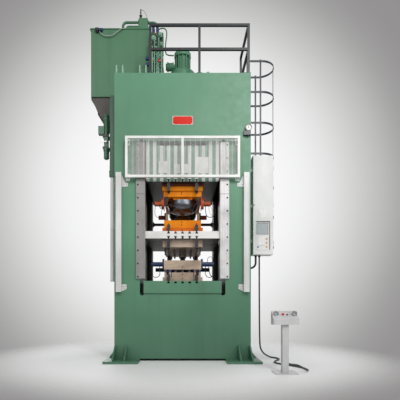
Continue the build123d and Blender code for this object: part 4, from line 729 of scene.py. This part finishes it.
tubes("manifold_tubes", pale_pipe, "frame", [
    (radius, [(x, y, 6.13), (x, y, straight), (x, y, bend), (x, -0.49, end)])
    for radius, x, y, straight, bend, end in (
        (0.015, -0.68, -0.57, 6.9, 7.02, 7.04),
        (0.013, -0.63, -0.58, 7.06, 7.15, 7.16),
        (0.015, -0.575, -0.575, 6.78, 6.88, 6.89),
        (0.012, -0.535, -0.585, 7.12, 7.2, 7.21),
        (0.015, -0.477, -0.575, 6.8, 6.9, 6.91),
        (0.011, -0.44, -0.56, 6.98, 7.06, 7.07),
    )
])
tubes("valve_pressure_tube", pipe_green, "frame", [
    (0.014, [
        (-0.60, -0.35, 7.43), (-0.568, -0.35, 7.483), (-0.524, -0.35, 7.55), (-0.407, -0.35, 7.555),
        (-0.362, -0.35, 7.48), (-0.368, -0.35, 7.35), (-0.398, -0.35, 7.15), (-0.393, -0.35, 6.99),
        (-0.35, -0.35, 6.925), (-0.2, -0.35, 6.926),
    ]),
])
knob_x, knob_y, knob_z = -0.52, -0.6, 6.655
knob_profile = [(0.012, 0), (0.03, 0.004), (0.034, 0.012), (0.03, 0.02), (0.01, 0.024)]
knob = Piece("relief_valve_knob", red_plastic)
knob.turned((knob_x, knob_y, knob_z), FRONT, knob_profile, 20)
knob.done()
stem = Piece("relief_valve_stem", bright_steel)
stem.bar((knob_x, block_front, knob_z), (knob_x, knob_y, knob_z), 0.011)
stem.bar((-0.459, block_front, 6.736), (-0.459, -0.56, 6.736), 0.014)
stem.done()
fittings = Piece("valve_fittings", brass)
fitting_profile = [(0.02, 0), (0.02, 0.025), (0.014, 0.028), (0.014, 0.05)]
for fitting_x, fitting_z in ((-0.62, 7.32), (-0.55, 6.62), (-0.66, 6.87)):
    fittings.turned((fitting_x, block_front, fitting_z), FRONT, fitting_profile, 6)
fittings.done()

# Level switch, sensor and a thin tube on the tank
switch_cap = Piece("level_switch_cap", black_plastic)
switch_cap.turned((-2.06, -0.117, 7.677), RIGHT, [(0.04, 0), (0.05, 0.012), (0.05, 0.07), (0.044, 0.08)])
switch_cap.done()
switch_body = Piece("level_switch_body", blue_paint)
body_profile = [(0.034, 0), (0.036, 0.01), (0.036, 0.08), (0.028, 0.088)]
switch_body.turned((-1.98, -0.104, 7.69), RIGHT, body_profile, 24)
switch_body.block((-1.975, -0.1, 7.66), (-1.9, -0.068, 7.71))
switch_body.done()
sensor_x, sensor_y = -1.016, 0.17
sensor_profile = [
    (0.022, 0), (0.022, 0.05), (0.034, 0.058), (0.036, 0.09), (0.03, 0.1), (0.017, 0.11), (0.017, 0.15)
]
sensor = Piece("pump_head_sensor", dark_paint)
sensor.turned((sensor_x, sensor_y, 8.14), UP, sensor_profile)
sensor.done()
collar_profile = [(0.033, 0), (0.037, 0.004), (0.037, 0.012), (0.03, 0.018)]
collar = Piece("pump_head_collar", plate_white)
collar.turned((sensor_x, sensor_y, 8.222), UP, collar_profile)
collar.done()
tubes("tank_top_tube", pipe_green, "frame", [
    (0.014, [
        (-1.356, 0.1, 7.73), (-1.356, 0.1, 7.86), (-1.341, 0.1, 7.914), (-1.2, 0.1, 7.914),
        (-1.04, 0.1, 7.914),
    ]),
])

# Cabinet door: a dark strip of painted shade for the cabinet's left side, bare labels, strips of painted
# shade and light round the controls and the screen's bezel
door_y = -0.7775
strip = Piece("cabinet_shade_strip", cabinet_side_shade, "cabinet_door")
strip.strips(door_y - 0.006, door_y + 0.02, [(1.538, 2.303, 1.55, 4.464)])
strip.done()
papers = Piece("cabinet_labels", plate_white, "cabinet_door")
papers.strips(door_y - 0.003, door_y, [
    (1.682, 3.1, 1.768, 3.286),
    (1.778, 3.1, 1.864, 3.286),
    (1.66, 2.5, 1.795, 2.7),
], 0.0005)
papers.done()
# Painted shade: dark strips on the top and right of the recess round the controls
recess_shade = Piece("cabinet_recess_shade", dark_paint, "cabinet_door")
recess_shade.strips(door_y - 0.008, door_y, [(1.61, 3.014, 1.917, 3.028), (1.905, 2.4, 1.917, 3.02)])
recess_shade.done()
# Painted light: pale strips on the lit bottom and left of the recess
recess_lit = Piece("cabinet_recess_lit", pale_grey, "cabinet_door")
recess_lit.strips(door_y - 0.008, door_y, [(1.61, 2.396, 1.917, 2.406), (1.61, 2.4, 1.62, 3.02)])
recess_lit.done()
bezel = Piece("screen_bezel", bezel_grey, "cabinet_door")
bezel.strips(door_y - 0.007, door_y, [
    (1.627, 2.98, 1.88, 2.994),
    (1.627, 2.743, 1.88, 2.757),
    (1.627, 2.745, 1.64, 2.99),
    (1.867, 2.745, 1.88, 2.99),
])
bezel.done()

# Tooling: screws in the dies' front faces, and the rods that hang below the upper die
for name, body, places in (
    ("upper_die_screws", "slide", [(-0.02, -0.858, 3.636), (-0.02, -0.858, 3.597)]),
    (
        "lower_die_screws", "floating_platen",
        [(-0.02, -0.858, 2.99), (-0.02, -0.858, 2.93), (-0.02, -0.898, 2.815)],
    ),
    ("lower_tool_screws", "frame", [(0, -0.898, 2.01), (0, -0.898, 1.86), (0, -0.898, 1.765)]),
):
    screws = Piece(name, black_plastic, body)
    for place in places:
        screws.screw(place, FRONT, 0.0125)
    screws.done()
hangers = Piece("upper_die_rods", dark_steel, "slide")
for rod_x in (-0.385, -0.332, 0.341):
    hangers.bar((rod_x, -0.835, 3.376), (rod_x, -0.835, 3.545), 0.013)
    hangers.turned((rod_x, -0.835, 3.5), UP, [(0.02, 0), (0.02, 0.045)], 6)
hangers.done()
fittings = Piece("hose_fittings_slide", dark_steel, "slide")
for place, way in (
    ((-0.6, -0.745, 3.36), UP),
    ((-0.5, -0.745, 3.36), UP),
    ((0.5, -0.745, 3.36), UP),
    ((0.605, -0.7, 3.424), RIGHT),
):
    fittings.turned(place, way, [(0.013, 0), (0.016, 0.004), (0.016, 0.03), (0.012, 0.034)], 6)
fittings.done()
fittings = Piece("hose_fittings_frame", dark_steel)
fitting_profile = [(0.011, 0), (0.014, 0.004), (0.014, 0.026), (0.01, 0.03)]
for fitting_x in (-0.67, -0.505, 0.505, 0.67):
    fittings.turned((fitting_x, -0.74, 2.03), UP, fitting_profile, 6)
fittings.turned((0.74, -0.575, 1.7), UP, [(0.018, 0), (0.018, 0.02), (0.012, 0.03)], 6)
fittings.done()
tubes("slide_grease_tubes", dark_paint, "slide", [
    (0.009, [
        (-0.54, -0.95, 4.565), (-0.52, -0.95, 4.62), (-0.3, -0.95, 4.65), (0.25, -0.95, 4.645),
        (0.5, -0.95, 4.62), (0.52, -0.95, 4.565),
    ]),
    (0.007, [
        (-0.5, -0.93, 4.565), (-0.48, -0.93, 4.605), (-0.1, -0.93, 4.625), (0.45, -0.93, 4.605),
        (0.48, -0.93, 4.565),
    ]),
])


# Floor, world and lamps

# The floor fades into the backdrop between two distances from the middle of the press
half = 60
fade_start, fade_end = 3.0, 5.2
floor_mesh = bpy.data.meshes.new("floor")
floor_corners = [(-half, -half, 0), (half, -half, 0), (half, half, 0), (-half, half, 0)]
floor_mesh.from_pydata(floor_corners, [], [(0, 1, 2, 3)])
floor = add_object("floor", floor_mesh)
ground = Graph("floor_paper", Roughness=0.7)
patches = ground.spread(ground.noise(1.3), 0.3, 0.7, 0, 0.06)
ground.link("Base Color", ground.mix(patches, colour(234, 234, 234), colour(214, 214, 214)))
distance = ground.node("ShaderNodeVectorMath", {0: ground.place}, operation="LENGTH").outputs["Value"]
clear = ground.node("ShaderNodeBsdfTransparent").outputs[0]
reach = {"Value": distance, "From Min": fade_start, "From Max": fade_end}
fade = ground.node("ShaderNodeMapRange", reach, interpolation_type="SMOOTHSTEP")
blend = ground.node("ShaderNodeMixShader", {0: fade.outputs[0], 1: ground.shader.outputs[0], 2: clear})
ground.tree.links.new(blend.outputs[0], ground.tree.nodes["Material Output"].inputs["Surface"])
floor_mesh.materials.append(ground.material)

world = bpy.data.worlds.new("studio")
scene.world = world
world.use_nodes = True
sky = world.node_tree
sky.nodes.clear()


def sky_node(kind, inputs=None, **settings):
    """A node in the world."""
    return add_node(sky, kind, inputs, **settings)


def sky_maths(operation, first, second=0.0):
    """One step of arithmetic in the world."""
    return sky_node("ShaderNodeMath", {0: first, 1: second}, operation=operation).outputs[0]


# The backdrop is a painted pool of light: bright round a middle seen at this slope upwards, from each of
# the four sides, and grey further out. ramp_stops gives its colours by the distance from that middle
middle_slope = 0.2875
generated = sky_node("ShaderNodeTexCoord").outputs["Generated"]
direction = sky_node("ShaderNodeSeparateXYZ", {0: generated}).outputs
longer = sky_maths("MAXIMUM", sky_maths("ABSOLUTE", direction[0]), sky_maths("ABSOLUTE", direction[1]))
shorter = sky_maths("MINIMUM", sky_maths("ABSOLUTE", direction[0]), sky_maths("ABSOLUTE", direction[1]))
longer = sky_maths("MAXIMUM", longer, 0.3)
sideways = sky_maths("DIVIDE", shorter, longer)
upwards = sky_maths("SUBTRACT", sky_maths("DIVIDE", direction[2], longer), middle_slope)
squares = sky_maths("ADD", sky_maths("POWER", sideways, 2), sky_maths("MULTIPLY", upwards, upwards))
outwards = sky_maths("SQRT", squares)
ramp = sky_node("ShaderNodeValToRGB", {0: outwards})
ramp.color_ramp.interpolation = "B_SPLINE"
ramp_stops = [
    (0.0, (252, 252, 253)),
    (0.2, (251, 251, 252)),
    (0.28, (244, 244, 245)),
    (0.34, (236, 236, 236)),
    (0.42, (212, 212, 211)),
    (0.5, (187, 187, 186)),
    (0.57, (162, 161, 161)),
    (0.65, (148, 146, 146)),
    (0.9, (142, 140, 140)),
]
stops = ramp.color_ramp.elements
stops[0].color = colour(*ramp_stops[0][1])
stops[1].position = ramp_stops[-1][0]
stops[1].color = colour(*ramp_stops[-1][1])
for position, tint in ramp_stops[1:-1]:
    stops.new(position).color = colour(*tint)
# Rays that see the backdrop get its colours, and all others get an even soft light
rays = sky_node("ShaderNodeLightPath").outputs
shown = sky_maths("MAXIMUM", rays["Is Camera Ray"], rays["Is Glossy Ray"])
shown = sky_maths("MAXIMUM", shown, rays["Is Transmission Ray"])
soft = sky_node("ShaderNodeBackground", {"Color": (1, 1, 1, 1), "Strength": 0.42})
backdrop = sky_node("ShaderNodeBackground", {"Color": ramp.outputs[0]})
pick = sky_node("ShaderNodeMixShader", {0: shown, 1: soft.outputs[0], 2: backdrop.outputs[0]})
sky_node("ShaderNodeOutputWorld", {0: pick.outputs[0]})


def lamp(name, place, target, size, power):
    """A soft lamp, as wide and tall as its size says, that faces a point."""
    light = bpy.data.lights.new(name, "AREA")
    light.shape = "RECTANGLE"
    light.size, light.size_y = size
    light.energy = power
    made = add_object(name, light)
    made.location = place
    made.rotation_euler = (Vector(target) - Vector(place)).to_track_quat("-Z", "Y").to_euler()


# Name, place, the point it faces, width and height, power
lamp("key", (7.4, -11.5, 5.8), (0.3, 0, 3.2), (6, 7), 290)
lamp("sheen", (3.3, -11, 9.8), (1.3, -1, 5), (1.6, 4), 560)
lamp("fill", (-5.5, -10.5, 9), (0, 0, 4), (5, 5), 260)
lamp("back", (-3.5, 10.5, 7), (0, 0, 3.6), (6, 6), 420)
lamp("recess_lit", (6, 8, 9), (0, 0, 4), (5, 5), 240)

scene.view_settings.view_transform = "Standard"
